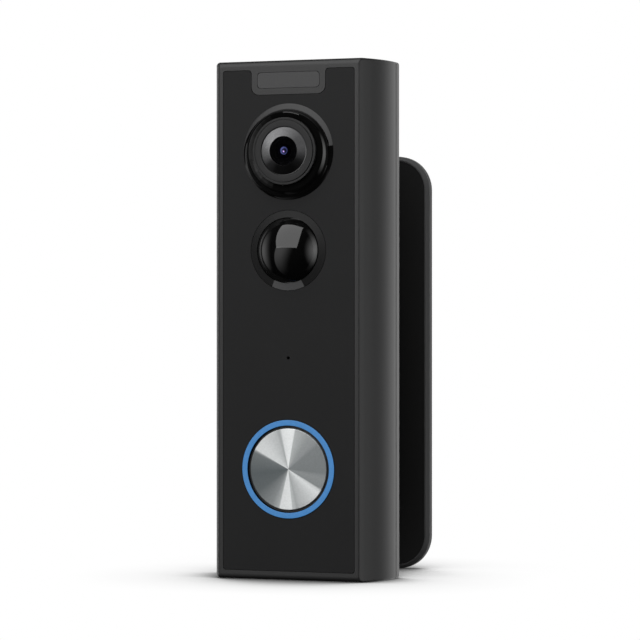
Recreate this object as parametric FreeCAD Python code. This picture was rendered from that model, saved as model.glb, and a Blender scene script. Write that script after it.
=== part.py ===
import FreeCAD, Part

import math
import os

from FreeCAD import Vector

# A video door phone that clamps through a door leaf: an outdoor station, and a plate indoors.
# Sizes are in millimetres. X runs to the right, Y back through the door and Z up.
# Each piece is laid out by its depth behind the station's front face and by its height above
# the surface that the object stands on. save() then puts the origin under the object's middle.

# Outdoor station, outline
station_height = 170.0
front_width = 49.1  # front face, between its two long edges
station_width = 61.0  # across the bulged sides, where they meet the rear cover
shell_depth = 19.3
shell_wall = 2.0
front_wall = 2.4
front_end_radius = 1.9
side_edge_radius = 0.8

# Inset front panel, with the tab that comes down from the top border
panel_thickness = 1.2
panel_side_border = 1.5
panel_end_border = 3.0
panel_corner = 0.9
panel_groove = 0.15
tab_width = 25.7
tab_drop = 8.2
tab_corner = 2.6
tab_root_radius = 1.3
name_plate_width = 21.8
name_plate_height = 5.3
name_plate_thickness = 0.8
name_plate_corner = 1.2
name_plate_groove = 0.12
name_plate_margin = 2.0  # from the tab's lower edge up to the plate

# Heights of the things on the front
camera_drop = 30.0  # from the station's top to the lens axis
pir_pitch = 32.2  # from the lens axis down to the motion sensor
button_z = 36.4
mic_rise = 36.3  # from the button's axis up to the microphone

# Camera
bezel_radius = 15.75
bezel_rise = 2.9
bezel_edge_rise = 0.15
bezel_skirt_radius = 14.1  # where the low skirt meets the steep cone
bezel_skirt_rise = 0.55
bezel_crown_radius = 12.85
bezel_crown_round = 0.35
bezel_spigot_radius = 14.6
shroud_radius = 11.0
shroud_rise = 4.2
shroud_wall = 1.2
shroud_rim_width = 0.75
shroud_rim_sink = 0.25  # from the face back to the rim round it
shroud_groove_width = 0.2
shroud_groove_depth = 0.2
shroud_flange = 1.4
shroud_flange_thickness = 0.8
trim_radius = 7.85
trim_flange = 0.6
trim_edge_sink = 0.32  # from the shroud's face back to the ring's outer edge
trim_cone_rise = 0.35
lens_radius = 4.7
lens_crown = 0.05
lens_glass_thickness = 0.3
barrel_radius = 6.0
barrel_length = 10.8
element_radius = 2.3
element_crown = 0.5
element_thickness = 1.2
element_air_gap = 0.1  # from the front lens back to the element's crown
funnel_lip = 0.6
holder_wall = 1.3
holder_foot = 16.0
holder_foot_height = 3.2
holder_shoulder_height = 0.8
holder_shoulder_inset = 0.5
ir_board_radius = 9.3
ir_board_thickness = 1.0
ir_board_bore_gap = 0.3
ir_lamp_room = 1.8  # from the lens flange back to the lamps
ir_lamp_size = 1.6
ir_lamp_height = 0.9
ir_lamp_count = 6
sensor_chip_size = 8.0
sensor_chip_height = 0.8
sensor_chip_room = 1.0  # all round, in the holder's chamber
camera_board_width = 38.4
camera_board_height = 27.0
camera_board_depth = 9.0  # from the front face to the board's front
camera_board_thickness = 1.2
camera_screw_spread = 34.4

# Motion sensor
dome_radius = 10.6
dome_rise = 6.0
dome_wall = 1.0
dome_flange_thickness = 0.8
dome_flange_width = 0.8
pir_ring_radius = 13.05
pir_ring_rise = 0.5
window_half_angle = 26.0
light_pipe_radius = 0.6
light_pipe_offset = 12.3  # from the sensor's axis down to the light pipe
light_pipe_gap = 0.3  # from the light pipe's end to the board
pir_can_radius = 4.1
pir_can_height = 4.0
pir_rim_radius = 4.6
pir_rim_height = 0.6
pir_spacer_height = 0.8

# Microphone
mic_hole_radius = 0.55
mic_wall_hole_radius = 0.8
mic_radius = 3.0
mic_length = 2.6
mic_pin_radius = 0.3
mic_pin_pitch = 2.0
mic_boot_wall = 1.2
mic_boot_front = 1.0

# Bell button
light_ring_radius = 16.05
light_ring_width = 1.8
light_ring_rise = 0.3
light_ring_length = 5.3
button_radius = 13.3
button_disc_thickness = 1.2
button_disc_edge = 0.25
bell_travel = 0.8
bell_over_travel = 0.5  # left behind the carrier at the end of its travel
guide_wall = 0.75
guide_flange_thickness = 1.2
guide_collar_width = 2.1
guide_sink = 1.0  # from the front face to the guide's front rim
carrier_plate_thickness = 1.4
carrier_wall = 1.2
carrier_flange_width = 0.45
carrier_flange_thickness = 0.8
carrier_stem_radius = 2.2
carrier_stem_length = 1.8
plunger_radius = 1.75
plunger_length = 1.6
switch_size = 6.0
switch_height = 2.8
switch_floor = 1.2
spring_radius = 5.6
spring_wire = 0.6
spring_turns = 3.5
button_board_size = 40.0
button_board_thickness = 1.2
button_screw_spread = 34.0
ring_lamp_count = 8
ring_lamp_size = 1.2
ring_lamp_height = 1.0

# Main board and what it carries
main_board_width = 44.0
main_board_depth = 9.0
main_board_thickness = 1.6
main_screw_spread = 38.0
main_screw_inset = 4.0
board_gap = 1.6  # between the edges of two boards
shield_width = 24.0
shield_height = 2.4
shield_edge_gap = 1.5
shield_wall = 0.3
antenna_width = 18.0
antenna_height = 3.0
antenna_strip = 0.6
antenna_bar_width = 2.0
antenna_leg_width = 1.0
antenna_leg_pitch = 4.0
antenna_board_inset = 3.0
flex_width = 8.0
flex_thickness = 0.3
flex_overlap = 5.0
charge_flex_width = 3.0
charge_flex_offset = 6.0
charge_flex_overlap = 3.5
battery_width = 36.0
battery_height = 64.0
battery_thickness = 8.5
battery_corner = 3.0
battery_pad_thickness = 1.2
battery_pad_width = 30.0
battery_pad_height = 36.0
battery_rib = 1.2
battery_rib_gap = 0.15
lead_width = 3.0
lead_thickness = 1.0
lead_offset = 14.0
lead_loop = 2.2

# Speaker, in the foot of the station
speaker_width = 34.0
speaker_height = 11.0
speaker_front = 4.5
speaker_back = 15.0
speaker_gasket_thickness = 1.0
speaker_gasket_width = 1.5
sound_slot_count = 5
sound_slot_pitch = 5.6
sound_slot_width = 1.8
sound_slot_length = 7.0
speaker_mouth_depth = 1.0

# Rear cover and its seal
seal_thickness = 0.4
seal_inset = 0.5
cover_depth = 4.0
cover_wall = 2.0
cover_edge_radius = 1.5
cover_lip = 1.2
cover_lip_length = 2.0
lip_gap = 0.15
case_screw_spread = 44.0
case_screw_inset = 8.0
case_screw_radius = 1.25
case_screw_length = 10.0
case_head_radius = 2.4
case_head_depth = 1.2
case_boss_radius = 3.0
board_screw_radius = 1.0
board_screw_length = 5.0
charge_screw_length = 4.5
board_head_radius = 1.9
board_head_height = 1.0
board_boss_radius = 2.0

# Charging socket in the back, under its flap
port_drop = 20.0  # from the station's top down to the socket
socket_width = 9.0
socket_height = 3.2
socket_wall = 0.3
socket_length = 4.9
socket_gap = 0.2
socket_mouth_sink = 1.5  # from the cover's back face in to the socket's mouth
socket_tongue_thickness = 0.7
socket_tongue_sink = 1.0
charge_board_width = 24.0
charge_board_height = 12.0
charge_board_thickness = 1.0
charge_screw_spread = 19.0
flap_width = 15.0
flap_height = 7.6
flap_thickness = 1.2
flap_gap = 0.15
flap_pin_radius = 0.4
flap_pin_length = 0.8
finger_notch = 1.6
port_frame_width = 2.5
port_frame_depth = 1.0

# Through-door screws
door_gap = 32.0  # clear space for the door leaf, as photographed
clamp_spacing = 88.0
clamp_screw_radius = 2.0
clamp_tip_gap = 0.4  # from the screw's tip to the end of its bore
clamp_insert_radius = 3.2
clamp_insert_length = 11.0
clamp_boss_wall = 1.6
clamp_bore_floor = 1.2
clamp_head_radius = 4.4
clamp_head_height = 1.0
clamp_hex_width = 2.5
clamp_hex_depth = 0.6
clamp_hex_sides = 6
clamp_hole_gap = 0.2

# Indoor plate
plate_width = 59.2
plate_height = 141.0
plate_corner = 11.6
tray_depth = 2.8
tray_rim = 1.5
tray_floor = 1.0
tray_edge_chamfer = 1.1
indoor_cover_depth = 1.9
indoor_cover_wall = 0.7
indoor_cover_edge_radius = 1.2
stiffener_thickness = 0.8
pad_gap = 0.1
snap_pin_radius = 1.2
snap_pin_spread = 46.0
snap_pin_rows = 100.0

# Details and fits shared by several pieces
running_gap = 0.05  # round a thread, a pin or a sliding piece, all the way
small_round = 0.2
fine_round = 0.1
flat_left = 0.01  # between two roundings that nearly meet
on_face = 1e-4  # how near to a face an edge counts as lying in it
board_corner = 1.0
drive_slot = 0.4  # width of the cross in a screw's head
past = 1.0  # how far a cut runs past the face it opens, or a boss into its wall

# Places that follow from the sizes above
panel_width = front_width - 2 * panel_side_border
panel_bottom = panel_end_border
panel_top = station_height - panel_end_border
tab_bottom = panel_top - tab_drop
name_plate_z = tab_bottom + name_plate_margin + name_plate_height / 2

camera_z = station_height - camera_drop
pir_z = camera_z - pir_pitch
mic_z = button_z + mic_rise
port_z = station_height - port_drop

bulge = (station_width - front_width) / 2
side_radius = (bulge ** 2 + shell_depth ** 2) / (2 * bulge)
side_centre_x = station_width / 2 - side_radius

cover_front = shell_depth + seal_thickness
station_back = cover_front + cover_depth
cover_inside = station_back - cover_wall
plate_front = station_back + door_gap
tray_back = plate_front + tray_depth
object_back = tray_back + indoor_cover_depth

shroud_face = -shroud_rise
trim_seat = shroud_face + shroud_wall
trim_face = shroud_face - trim_cone_rise
lens_seat = trim_face + lens_glass_thickness
object_front = min(trim_face - lens_crown, -dome_rise)
barrel_nose_end = trim_seat + trim_flange
barrel_back = lens_seat + barrel_length
element_front = lens_seat + element_air_gap + element_crown
ir_board_front = barrel_nose_end + ir_lamp_room + ir_lamp_height
ir_board_back = ir_board_front + ir_board_thickness

pir_board_front = main_board_depth
pir_can_front = pir_board_front - pir_spacer_height - pir_can_height

ring_inner = light_ring_radius - light_ring_width
ring_back = light_ring_length - light_ring_rise
guide_inner = button_radius + running_gap
guide_outer = guide_inner + guide_wall
guide_back = ring_back + guide_flange_thickness
collar_inner = light_ring_radius + panel_groove * 2
collar_outer = collar_inner + guide_collar_width
carrier_back = button_disc_thickness + carrier_plate_thickness
carrier_flange_front = guide_back
carrier_flange_back = carrier_flange_front + carrier_flange_thickness
stem_end = carrier_back + carrier_stem_length
button_board_depth = carrier_flange_back + bell_travel + bell_over_travel
switch_front = button_board_depth - switch_height

clamp_low_z = plate_height / 2 - clamp_spacing / 2
clamp_high_z = plate_height / 2 + clamp_spacing / 2
clamp_bore_end = station_back - clamp_insert_length
clamp_tip = clamp_bore_end + clamp_tip_gap
clamp_boss_radius = clamp_insert_radius + clamp_boss_wall

main_board_bottom = button_z + button_board_size / 2 + board_gap
main_board_top = camera_z - camera_board_height / 2 - board_gap
main_board_back = main_board_depth + main_board_thickness
battery_z = plate_height / 2
battery_front = main_board_back + battery_pad_thickness
battery_back = battery_front + battery_thickness

speaker_bottom = shell_wall + speaker_gasket_thickness
socket_mouth = station_back - socket_mouth_sink
charge_board_back = socket_mouth - socket_length
charge_board_front = charge_board_back - charge_board_thickness

origin_depth = (object_front + object_back) / 2


# Building blocks


def rounded_outline(corners, place):
    """A closed wire through (across, along, rounding) corners, put in space by place()."""
    lines = []
    arcs = []
    ends = []
    count = len(corners)
    for index, (across, along, rounding) in enumerate(corners):
        here = place(across, along)
        last = corners[index - 1]
        following = corners[(index + 1) % count]
        to_last = (place(last[0], last[1]) - here).normalize()
        to_next = (place(following[0], following[1]) - here).normalize()
        if rounding <= 0:
            ends.append((here, here))
            continue
        half_angle = to_last.getAngle(to_next) / 2
        reach = rounding / math.tan(half_angle)
        inward = (to_last + to_next).normalize()
        middle = here + inward * (rounding / math.sin(half_angle) - rounding)
        enter = here + to_last * reach
        leave = here + to_next * reach
        arcs.append(Part.Arc(enter, middle, leave).toShape())
        ends.append((enter, leave))
    for index in range(count):
        start = ends[index - 1][1]
        finish = ends[index][0]
        if not start.isEqual(finish, on_face):
            lines.append(Part.LineSegment(start, finish).toShape())
    return Part.Wire(Part.__sortEdges__(lines + arcs))


def slab(corners, front, back):
    """A flat shape seen from the front, from one depth to another."""
    wire = rounded_outline(corners, lambda x, z: Vector(x, front, z))
    return Part.Face(wire).extrude(Vector(0, back - front, 0))


def plate(width, height, corner, front, back, x=0.0, z=0.0):
    """A rectangle seen from the front, with rounded corners, centred on x and z."""
    left = x - width / 2
    right = x + width / 2
    low = z - height / 2
    high = z + height / 2
    corners = [
        (left, low, corner),
        (right, low, corner),
        (right, high, corner),
        (left, high, corner),
    ]
    return slab(corners, front, back)


def turned(profile, x=0.0, z=0.0):
    """Turns a closed outline of (radius, depth, rounding) corners about an axis along the depth."""
    wire = rounded_outline(profile, lambda radius, depth: Vector(x + radius, depth, z))
    return Part.Face(wire).revolve(Vector(x, 0, z), Vector(0, 1, 0), 360)


def disc(radius, front, back, x=0.0, z=0.0):
    """A round bar along the depth."""
    return Part.makeCylinder(radius, back - front, Vector(x, front, z), Vector(0, 1, 0))


def ring(outer, inner, front, back, x=0.0, z=0.0):
    """A round bar with a bore."""
    return disc(outer, front, back, x, z).cut(disc(inner, front - past, back + past, x, z))


def four(spread_x, low, high):
    """The corners of a screw pattern, as (x, z)."""
    half = spread_x / 2
    return [(-half, low), (half, low), (-half, high), (half, high)]


def round_back_edges(solid, radius, back):
    """Rounds the outer edges of a plate's back face."""
    rim = [e for e in solid.Edges if e.BoundBox.YMin > back - on_face]
    return solid.makeFillet(radius, rim)


def save(node, *solids):
    """Writes one named piece, or a group of like pieces, in the object's own frame."""
    shape = solids[0] if len(solids) == 1 else Part.makeCompound(list(solids))
    shape.translate(Vector(0, -origin_depth, 0))
    shape.exportStep("parts/" + node + ".step")


# Outdoor station: housing


def side_x(depth, inset):
    """Half of the station's width at a depth, on a surface that lies inset from the outside."""
    radius = side_radius - inset
    return side_centre_x + math.sqrt(radius ** 2 - (shell_depth - depth) ** 2)


def station_block(inset, front, back):
    """The station's solid outline, bulged at both sides, inset all round."""
    middle = (front + back) / 2
    corners = []
    for side, depth in ((-1, front), (1, front), (1, back), (-1, back)):
        corners.append(Vector(side * side_x(depth, inset), depth, inset))
    right_middle = Vector(side_x(middle, inset), middle, inset)
    left_middle = Vector(-side_x(middle, inset), middle, inset)
    edges = [
        Part.LineSegment(corners[0], corners[1]).toShape(),
        Part.Arc(corners[1], right_middle, corners[2]).toShape(),
        Part.LineSegment(corners[2], corners[3]).toShape(),
        Part.Arc(corners[3], left_middle, corners[0]).toShape(),
    ]
    return Part.Face(Part.Wire(edges)).extrude(Vector(0, 0, station_height - 2 * inset))


def end_rounding_block():
    """A block seen from the side, rounded where the front face meets the two ends."""
    width = 2 * station_width
    corners = [
        (0.0, 0.0, front_end_radius),
        (0.0, station_height, front_end_radius),
        (2 * shell_depth, station_height, 0),
        (2 * shell_depth, 0.0, 0),
    ]
    wire = rounded_outline(corners, lambda depth, z: Vector(-width / 2, depth, z))
    return Part.Face(wire).extrude(Vector(width, 0, 0))


def shell_outside():
    """The housing's outer form, with one rounding that runs down its sides and over its ends."""
    solid = station_block(0.0, 0.0, shell_depth).common(end_rounding_block())
    side_edges = []
    for edge in solid.Edges:
        box = edge.BoundBox
        on_one_side = box.XMin * box.XMax > 0
        at_back = box.YMin > shell_depth - on_face
        if on_one_side and not at_back:
            side_edges.append(edge)
    return solid.makeFillet(side_edge_radius, side_edges)


def panel_blank(clearance, front, back):
    """The front panel's outline, shrunk by a clearance all round, with the notch for the tab."""
    half = panel_width / 2 - clearance
    low = panel_bottom + clearance
    high = panel_top - clearance
    notch = tab_width / 2 + clearance
    notch_floor = tab_bottom - clearance
    corners = [
        (-half, low, panel_corner),
        (half, low, panel_corner),
        (half, high, panel_corner),
        (notch, high, tab_root_radius),
        (notch, notch_floor, tab_corner),
        (-notch, notch_floor, tab_corner),
        (-notch, high, tab_root_radius),
        (-half, high, panel_corner),
    ]
    return slab(corners, front, back)


def name_plate_blank(clearance, front, back):
    """The plate in the tab, shrunk by a clearance all round."""
    return plate(
        name_plate_width - 2 * clearance,
        name_plate_height - 2 * clearance,
        name_plate_corner,
        front,
        back,
        0.0,
        name_plate_z,
    )


def board_screw_places():
    """Where screws hold the boards to the shell, as (x, z, the board's front, its back)."""
    places = []
    half = camera_screw_spread / 2
    for x in (-half, half):
        camera_back = camera_board_depth + camera_board_thickness
        places.append((x, camera_z, camera_board_depth, camera_back))
    low = main_board_bottom + main_screw_inset
    high = main_board_top - main_screw_inset
    for x, z in four(main_screw_spread, low, high):
        places.append((x, z, main_board_depth, main_board_back))
    reach = button_screw_spread / 2
    for x, z in four(button_screw_spread, button_z - reach, button_z + reach):
        button_back = button_board_depth + button_board_thickness
        places.append((x, z, button_board_depth, button_back))
    return places


def case_screw_places():
    """Where the rear cover's screws go, as (x, z)."""
    return four(case_screw_spread, case_screw_inset, station_height - case_screw_inset)


def sound_slots():
    """Slots through the shell's foot, under the speaker."""
    middle = (speaker_front + speaker_back) / 2
    slots = []
    for index in range(sound_slot_count):
        x = (index - (sound_slot_count - 1) / 2) * sound_slot_pitch
        corner = Vector(x - sound_slot_width / 2, middle - sound_slot_length / 2, -past)
        slots.append(
            Part.makeBox(sound_slot_width, sound_slot_length, shell_wall + 2 * past, corner)
        )
    return slots


def make_main_shell():
    outside = shell_outside()
    cavity = station_block(shell_wall, front_wall, shell_depth)
    shell = outside.cut(cavity)
    bosses = []
    bores = []
    for x, z in case_screw_places():
        bosses.append(disc(case_boss_radius, front_wall - past, shell_depth, x, z))
        bore_end = station_back - case_screw_length - past
        bores.append(disc(case_screw_radius + running_gap, bore_end, shell_depth + past, x, z))
    for x, z, front, back in board_screw_places():
        bosses.append(disc(board_boss_radius, front_wall - past, front, x, z))
        bore_end = back - board_screw_length - past / 2
        bores.append(disc(board_screw_radius + running_gap, bore_end, front + past, x, z))
    shell = shell.fuse(bosses).cut(bores)
    openings = [
        panel_blank(0.0, -past, panel_thickness),
        name_plate_blank(0.0, -past, name_plate_thickness),
        disc(bezel_spigot_radius + panel_groove, -past, front_wall + past, 0, camera_z),
        disc(dome_radius + panel_groove, -past, front_wall + past, 0, pir_z),
        disc(light_pipe_radius + panel_groove, -past, front_wall + past, 0, pir_z - light_pipe_offset),
        disc(mic_wall_hole_radius, -past, front_wall + past, 0, mic_z),
        disc(light_ring_radius + panel_groove, -past, front_wall + past, 0, button_z),
    ]
    return shell.cut(openings + sound_slots()).removeSplitter()


def make_front_panel():
    panel = panel_blank(panel_groove, 0.0, panel_thickness)
    holes = [
        disc(bezel_spigot_radius + panel_groove, -past, panel_thickness + past, 0, camera_z),
        disc(pir_ring_radius + panel_groove, -past, panel_thickness + past, 0, pir_z),
        disc(mic_hole_radius, -past, panel_thickness + past, 0, mic_z),
        disc(light_ring_radius + panel_groove, -past, panel_thickness + past, 0, button_z),
    ]
    return panel.cut(holes)


def make_name_plate():
    return name_plate_blank(name_plate_groove, 0.0, name_plate_thickness)


# Outdoor station: camera


def make_camera_bezel():
    """A ring on the panel: low skirt, steep cone and flat crown, with a spigot through the wall."""
    mouth = shroud_radius + panel_groove
    profile = [
        (bezel_radius, 0.0, 0),
        (bezel_radius, -bezel_edge_rise, fine_round),
        (bezel_skirt_radius, -bezel_skirt_rise, small_round),
        (bezel_crown_radius, -bezel_rise, bezel_crown_round),
        (mouth, -bezel_rise, fine_round),
        (mouth, front_wall, 0),
        (bezel_spigot_radius, front_wall, 0),
        (bezel_spigot_radius, 0.0, 0),
    ]
    return turned(profile, 0, camera_z)


def make_lens_shroud():
    """The flat dark ring round the lens: a hollow cap, its flange held behind the bezel."""
    flange_back = front_wall + shroud_flange_thickness
    rim = shroud_face + shroud_rim_sink
    groove_floor = rim + shroud_groove_depth
    groove_outer = shroud_radius - shroud_rim_width
    groove_inner = groove_outer - shroud_groove_width
    bore = trim_radius + panel_groove / 2
    profile = [
        (shroud_radius, front_wall, 0),
        (shroud_radius, rim, small_round),
        (groove_outer, rim, fine_round),
        (groove_outer, groove_floor, 0),
        (groove_inner, groove_floor, 0),
        (groove_inner, shroud_face, fine_round),
        (bore, shroud_face, fine_round),
        (bore, trim_seat, 0),
        (shroud_radius - shroud_wall, trim_seat, small_round),
        (shroud_radius - shroud_wall, flange_back, 0),
        (shroud_radius + shroud_flange, flange_back, 0),
        (shroud_radius + shroud_flange, front_wall, 0),
    ]
    return turned(profile, 0, camera_z)


def make_lens_trim_ring():
    """A metal ring, coned up to the lens, with a flange behind the shroud's face."""
    bore = lens_radius + running_gap
    profile = [
        (trim_radius, trim_seat, 0),
        (trim_radius, shroud_face + trim_edge_sink, fine_round),
        (bore, trim_face, fine_round),
        (bore, barrel_nose_end, 0),
        (trim_radius + trim_flange, barrel_nose_end, 0),
        (trim_radius + trim_flange, trim_seat, 0),
    ]
    return turned(profile, 0, camera_z)


def crowned_disc(radius, crown, front, back, z):
    """A disc whose front bulges towards the viewer by its crown."""
    ball = (radius ** 2 + crown ** 2) / (2 * crown)
    sphere = Part.makeSphere(ball, Vector(0, front - crown + ball, z))
    return disc(radius, front - crown - past, back, 0, z).common(sphere)


def make_lens_glass():
    return crowned_disc(lens_radius, lens_crown, trim_face, lens_seat, camera_z)


def make_lens_barrel():
    """The barrel, with a funnel at the front that narrows to the first lens element."""
    seat = element_radius + running_gap
    element_back = element_front + element_thickness
    profile = [
        (0.0, element_back, 0),
        (seat, element_back, 0),
        (seat, element_front, 0),
        (lens_radius - funnel_lip, lens_seat, 0),
        (lens_radius, lens_seat, 0),
        (lens_radius, barrel_nose_end, 0),
        (barrel_radius, barrel_nose_end, 0),
        (barrel_radius, barrel_back, small_round),
        (0.0, barrel_back, 0),
    ]
    return turned(profile, 0, camera_z)


def make_lens_element():
    back = element_front + element_thickness
    return crowned_disc(element_radius, element_crown, element_front, back, camera_z)


def make_lens_holder():
    """The sleeve that carries the barrel, with a shoulder for the night lamps' board."""
    bore = barrel_radius + running_gap
    sleeve = disc(bore + holder_wall, ir_board_back, camera_board_depth, 0, camera_z)
    shoulder_radius = ir_board_radius - holder_shoulder_inset
    shoulder_back = ir_board_back + holder_shoulder_height
    shoulder = disc(shoulder_radius, ir_board_back, shoulder_back, 0, camera_z)
    foot_front = camera_board_depth - holder_foot_height
    foot = plate(
        holder_foot, holder_foot, board_corner, foot_front, camera_board_depth, 0, camera_z
    )
    room = sensor_chip_size + 2 * sensor_chip_room
    chamber_back = camera_board_depth + past
    chamber = plate(room, room, small_round, barrel_back, chamber_back, 0, camera_z)
    bore_cut = disc(bore, ir_board_back - past, barrel_back + past, 0, camera_z)
    return sleeve.fuse([shoulder, foot]).cut([bore_cut, chamber]).removeSplitter()


def make_ir_board():
    inner = barrel_radius + ir_board_bore_gap
    return ring(ir_board_radius, inner, ir_board_front, ir_board_back, 0, camera_z)


def around(count, radius, z):
    """Places evenly round a circle, as (angle in degrees, x, z)."""
    places = []
    for index in range(count):
        angle = 360.0 * (index + 0.5) / count
        x = radius * math.sin(math.radians(angle))
        places.append((angle, x, z + radius * math.cos(math.radians(angle))))
    return places


def lamps(count, size, height, radius, board_front, z):
    """Small square lamps on the front of a board, round a circle."""
    made = []
    for angle, x, lamp_z in around(count, radius, z):
        lamp = plate(size, size, small_round, board_front - height, board_front, x, lamp_z)
        lamp.rotate(Vector(x, board_front, lamp_z), Vector(0, 1, 0), angle)
        made.append(lamp)
    return made


def make_ir_lamps():
    middle = (ir_board_radius + barrel_radius + ir_board_bore_gap) / 2
    return lamps(ir_lamp_count, ir_lamp_size, ir_lamp_height, middle, ir_board_front, camera_z)


def make_image_sensor():
    size = sensor_chip_size
    front = camera_board_depth - sensor_chip_height
    return plate(size, size, small_round, front, camera_board_depth, 0, camera_z)


def screw_holes(places, front, back):
    """Clearance holes through a board for its screws."""
    radius = board_screw_radius + 2 * running_gap
    return [disc(radius, front - past, back + past, x, z) for x, z in places]


def make_camera_board():
    back = camera_board_depth + camera_board_thickness
    board = plate(
        camera_board_width,
        camera_board_height,
        board_corner,
        camera_board_depth,
        back,
        0,
        camera_z,
    )
    half = camera_screw_spread / 2
    return board.cut(screw_holes([(-half, camera_z), (half, camera_z)], camera_board_depth, back))


def strip(points, thickness, width, x):
    """A ribbon of even thickness that follows (depth, height) points, seen from the side."""
    outer = [Vector(x - width / 2, depth, z) for depth, z in points]
    inner = [Vector(x - width / 2, depth + thickness, z) for depth, z in reversed(points)]
    wire = Part.makePolygon(outer + inner + [outer[0]])
    return Part.Face(wire).extrude(Vector(width, 0, 0))


def make_camera_flex():
    """The ribbon from the camera board to the main board, across their backs."""
    camera_back = camera_board_depth + camera_board_thickness
    camera_edge = camera_z - camera_board_height / 2
    points = [
        (camera_back, camera_edge + flex_overlap),
        (camera_back, camera_edge),
        (main_board_back, main_board_top),
        (main_board_back, main_board_top - flex_overlap),
    ]
    return strip(points, flex_thickness, flex_width, 0.0)


# Outdoor station: motion sensor, light window and microphone


def make_pir_dome():
    """A domed window with a skirt through the front wall and a flange behind it."""
    ball = (dome_radius ** 2 + dome_rise ** 2) / (2 * dome_rise)
    centre = Vector(0, ball - dome_rise, pir_z)
    cap = Part.makeSphere(ball, centre).common(disc(dome_radius, -dome_rise - past, 0, 0, pir_z))
    flange_back = front_wall + dome_flange_thickness
    skirt = disc(dome_radius, 0.0, flange_back, 0, pir_z)
    flange = disc(dome_radius + dome_flange_width, front_wall, flange_back, 0, pir_z)
    inner_ball = Part.makeSphere(ball - dome_wall, centre)
    bore_radius = dome_radius - dome_wall
    hollow = inner_ball.common(disc(bore_radius, -dome_rise, 0.0, 0, pir_z))
    bore = disc(bore_radius, 0.0, flange_back + past, 0, pir_z)
    return cap.fuse([skirt, flange]).cut([hollow, bore]).removeSplitter()


def pir_cone_ring(inner, outer):
    """The shallow ring round the dome: level with the panel outside, raised at the dome."""
    profile = [
        (outer, panel_thickness, 0),
        (outer, 0.0, 0),
        (inner, -pir_ring_rise, 0),
        (inner, panel_thickness, 0),
    ]
    return turned(profile, 0, pir_z)


def window_wedge(half_angle, front, back):
    """A wedge about the motion sensor's axis, opening downwards."""
    reach = 2 * pir_ring_radius
    angle = math.radians(half_angle)
    points = [
        Vector(0, front, pir_z),
        Vector(-reach * math.sin(angle), front, pir_z - reach * math.cos(angle)),
        Vector(reach * math.sin(angle), front, pir_z - reach * math.cos(angle)),
        Vector(0, front, pir_z),
    ]
    return Part.Face(Part.makePolygon(points)).extrude(Vector(0, back - front, 0))


def make_pir_ring():
    cone = pir_cone_ring(dome_radius + panel_groove, pir_ring_radius)
    return cone.cut(window_wedge(window_half_angle, -past, panel_thickness + past))


def make_sensor_window():
    """The lighter arc under the dome, with a light pipe back to the board."""
    cone = pir_cone_ring(dome_radius + panel_groove, pir_ring_radius)
    play = math.degrees(panel_groove / 2 / pir_ring_radius)
    arc = cone.common(window_wedge(window_half_angle - play, -past, panel_thickness + past))
    pipe_end = main_board_depth - light_pipe_gap
    pipe = disc(light_pipe_radius, panel_thickness / 2, pipe_end, 0, pir_z - light_pipe_offset)
    return arc.fuse(pipe).removeSplitter()


def make_pir_sensor():
    """The sensor's metal can, with its rim."""
    rim_back = pir_board_front - pir_spacer_height
    can = disc(pir_can_radius, pir_can_front, rim_back, 0, pir_z)
    rim = disc(pir_rim_radius, rim_back - pir_rim_height, rim_back, 0, pir_z)
    return can.fuse(rim).removeSplitter()


def make_pir_spacer():
    front = pir_board_front - pir_spacer_height
    return ring(pir_rim_radius, pir_rim_radius / 2, front, pir_board_front, 0, pir_z)


def mic_capsule_front():
    """Depth of the microphone capsule's face, behind the boot's front wall."""
    return front_wall + mic_boot_front


def make_mic_boot():
    back = mic_capsule_front() + mic_length
    boot = disc(mic_radius + mic_boot_wall, front_wall, back, 0, mic_z)
    pocket = disc(mic_radius, mic_capsule_front(), back + past, 0, mic_z)
    sound_hole = disc(mic_wall_hole_radius, front_wall - past, back, 0, mic_z)
    return boot.cut([pocket, sound_hole])


def make_microphone():
    """The capsule, with two pins to the main board."""
    back = mic_capsule_front() + mic_length
    capsule = disc(mic_radius, mic_capsule_front(), back, 0, mic_z)
    pins = []
    for x in (-mic_pin_pitch / 2, mic_pin_pitch / 2):
        pins.append(disc(mic_pin_radius, back - past, main_board_depth, x, mic_z))
    return capsule.fuse(pins).removeSplitter()


# Outdoor station: bell button


def make_light_ring():
    profile = [
        (ring_inner, -light_ring_rise, fine_round),
        (light_ring_radius, -light_ring_rise, fine_round),
        (light_ring_radius, ring_back, 0),
        (ring_inner, ring_back, 0),
    ]
    return turned(profile, 0, button_z)


def make_button_cap():
    """The metal disc, its edge broken."""
    profile = [
        (0.0, 0.0, 0),
        (button_radius, 0.0, button_disc_edge),
        (button_radius, button_disc_thickness, 0),
        (0.0, button_disc_thickness, 0),
    ]
    return turned(profile, 0, button_z)


def make_button_guide():
    """The sleeve that the button runs in; its flange seats the light ring on the front wall."""
    sleeve = disc(guide_outer, guide_sink, guide_back, 0, button_z)
    flange = disc(collar_outer, ring_back, guide_back, 0, button_z)
    collar = ring(collar_outer, collar_inner, front_wall, guide_back, 0, button_z)
    bore = disc(guide_inner, -past, guide_back + past, 0, button_z)
    middle = (ring_inner + light_ring_radius) / 2
    windows = []
    for angle, x, z in around(ring_lamp_count, middle, button_z):
        windows.append(disc(ring_lamp_size, ring_back - past / 2, guide_back + past, x, z))
    return sleeve.fuse([flange, collar]).cut([bore] + windows).removeSplitter()


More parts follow.
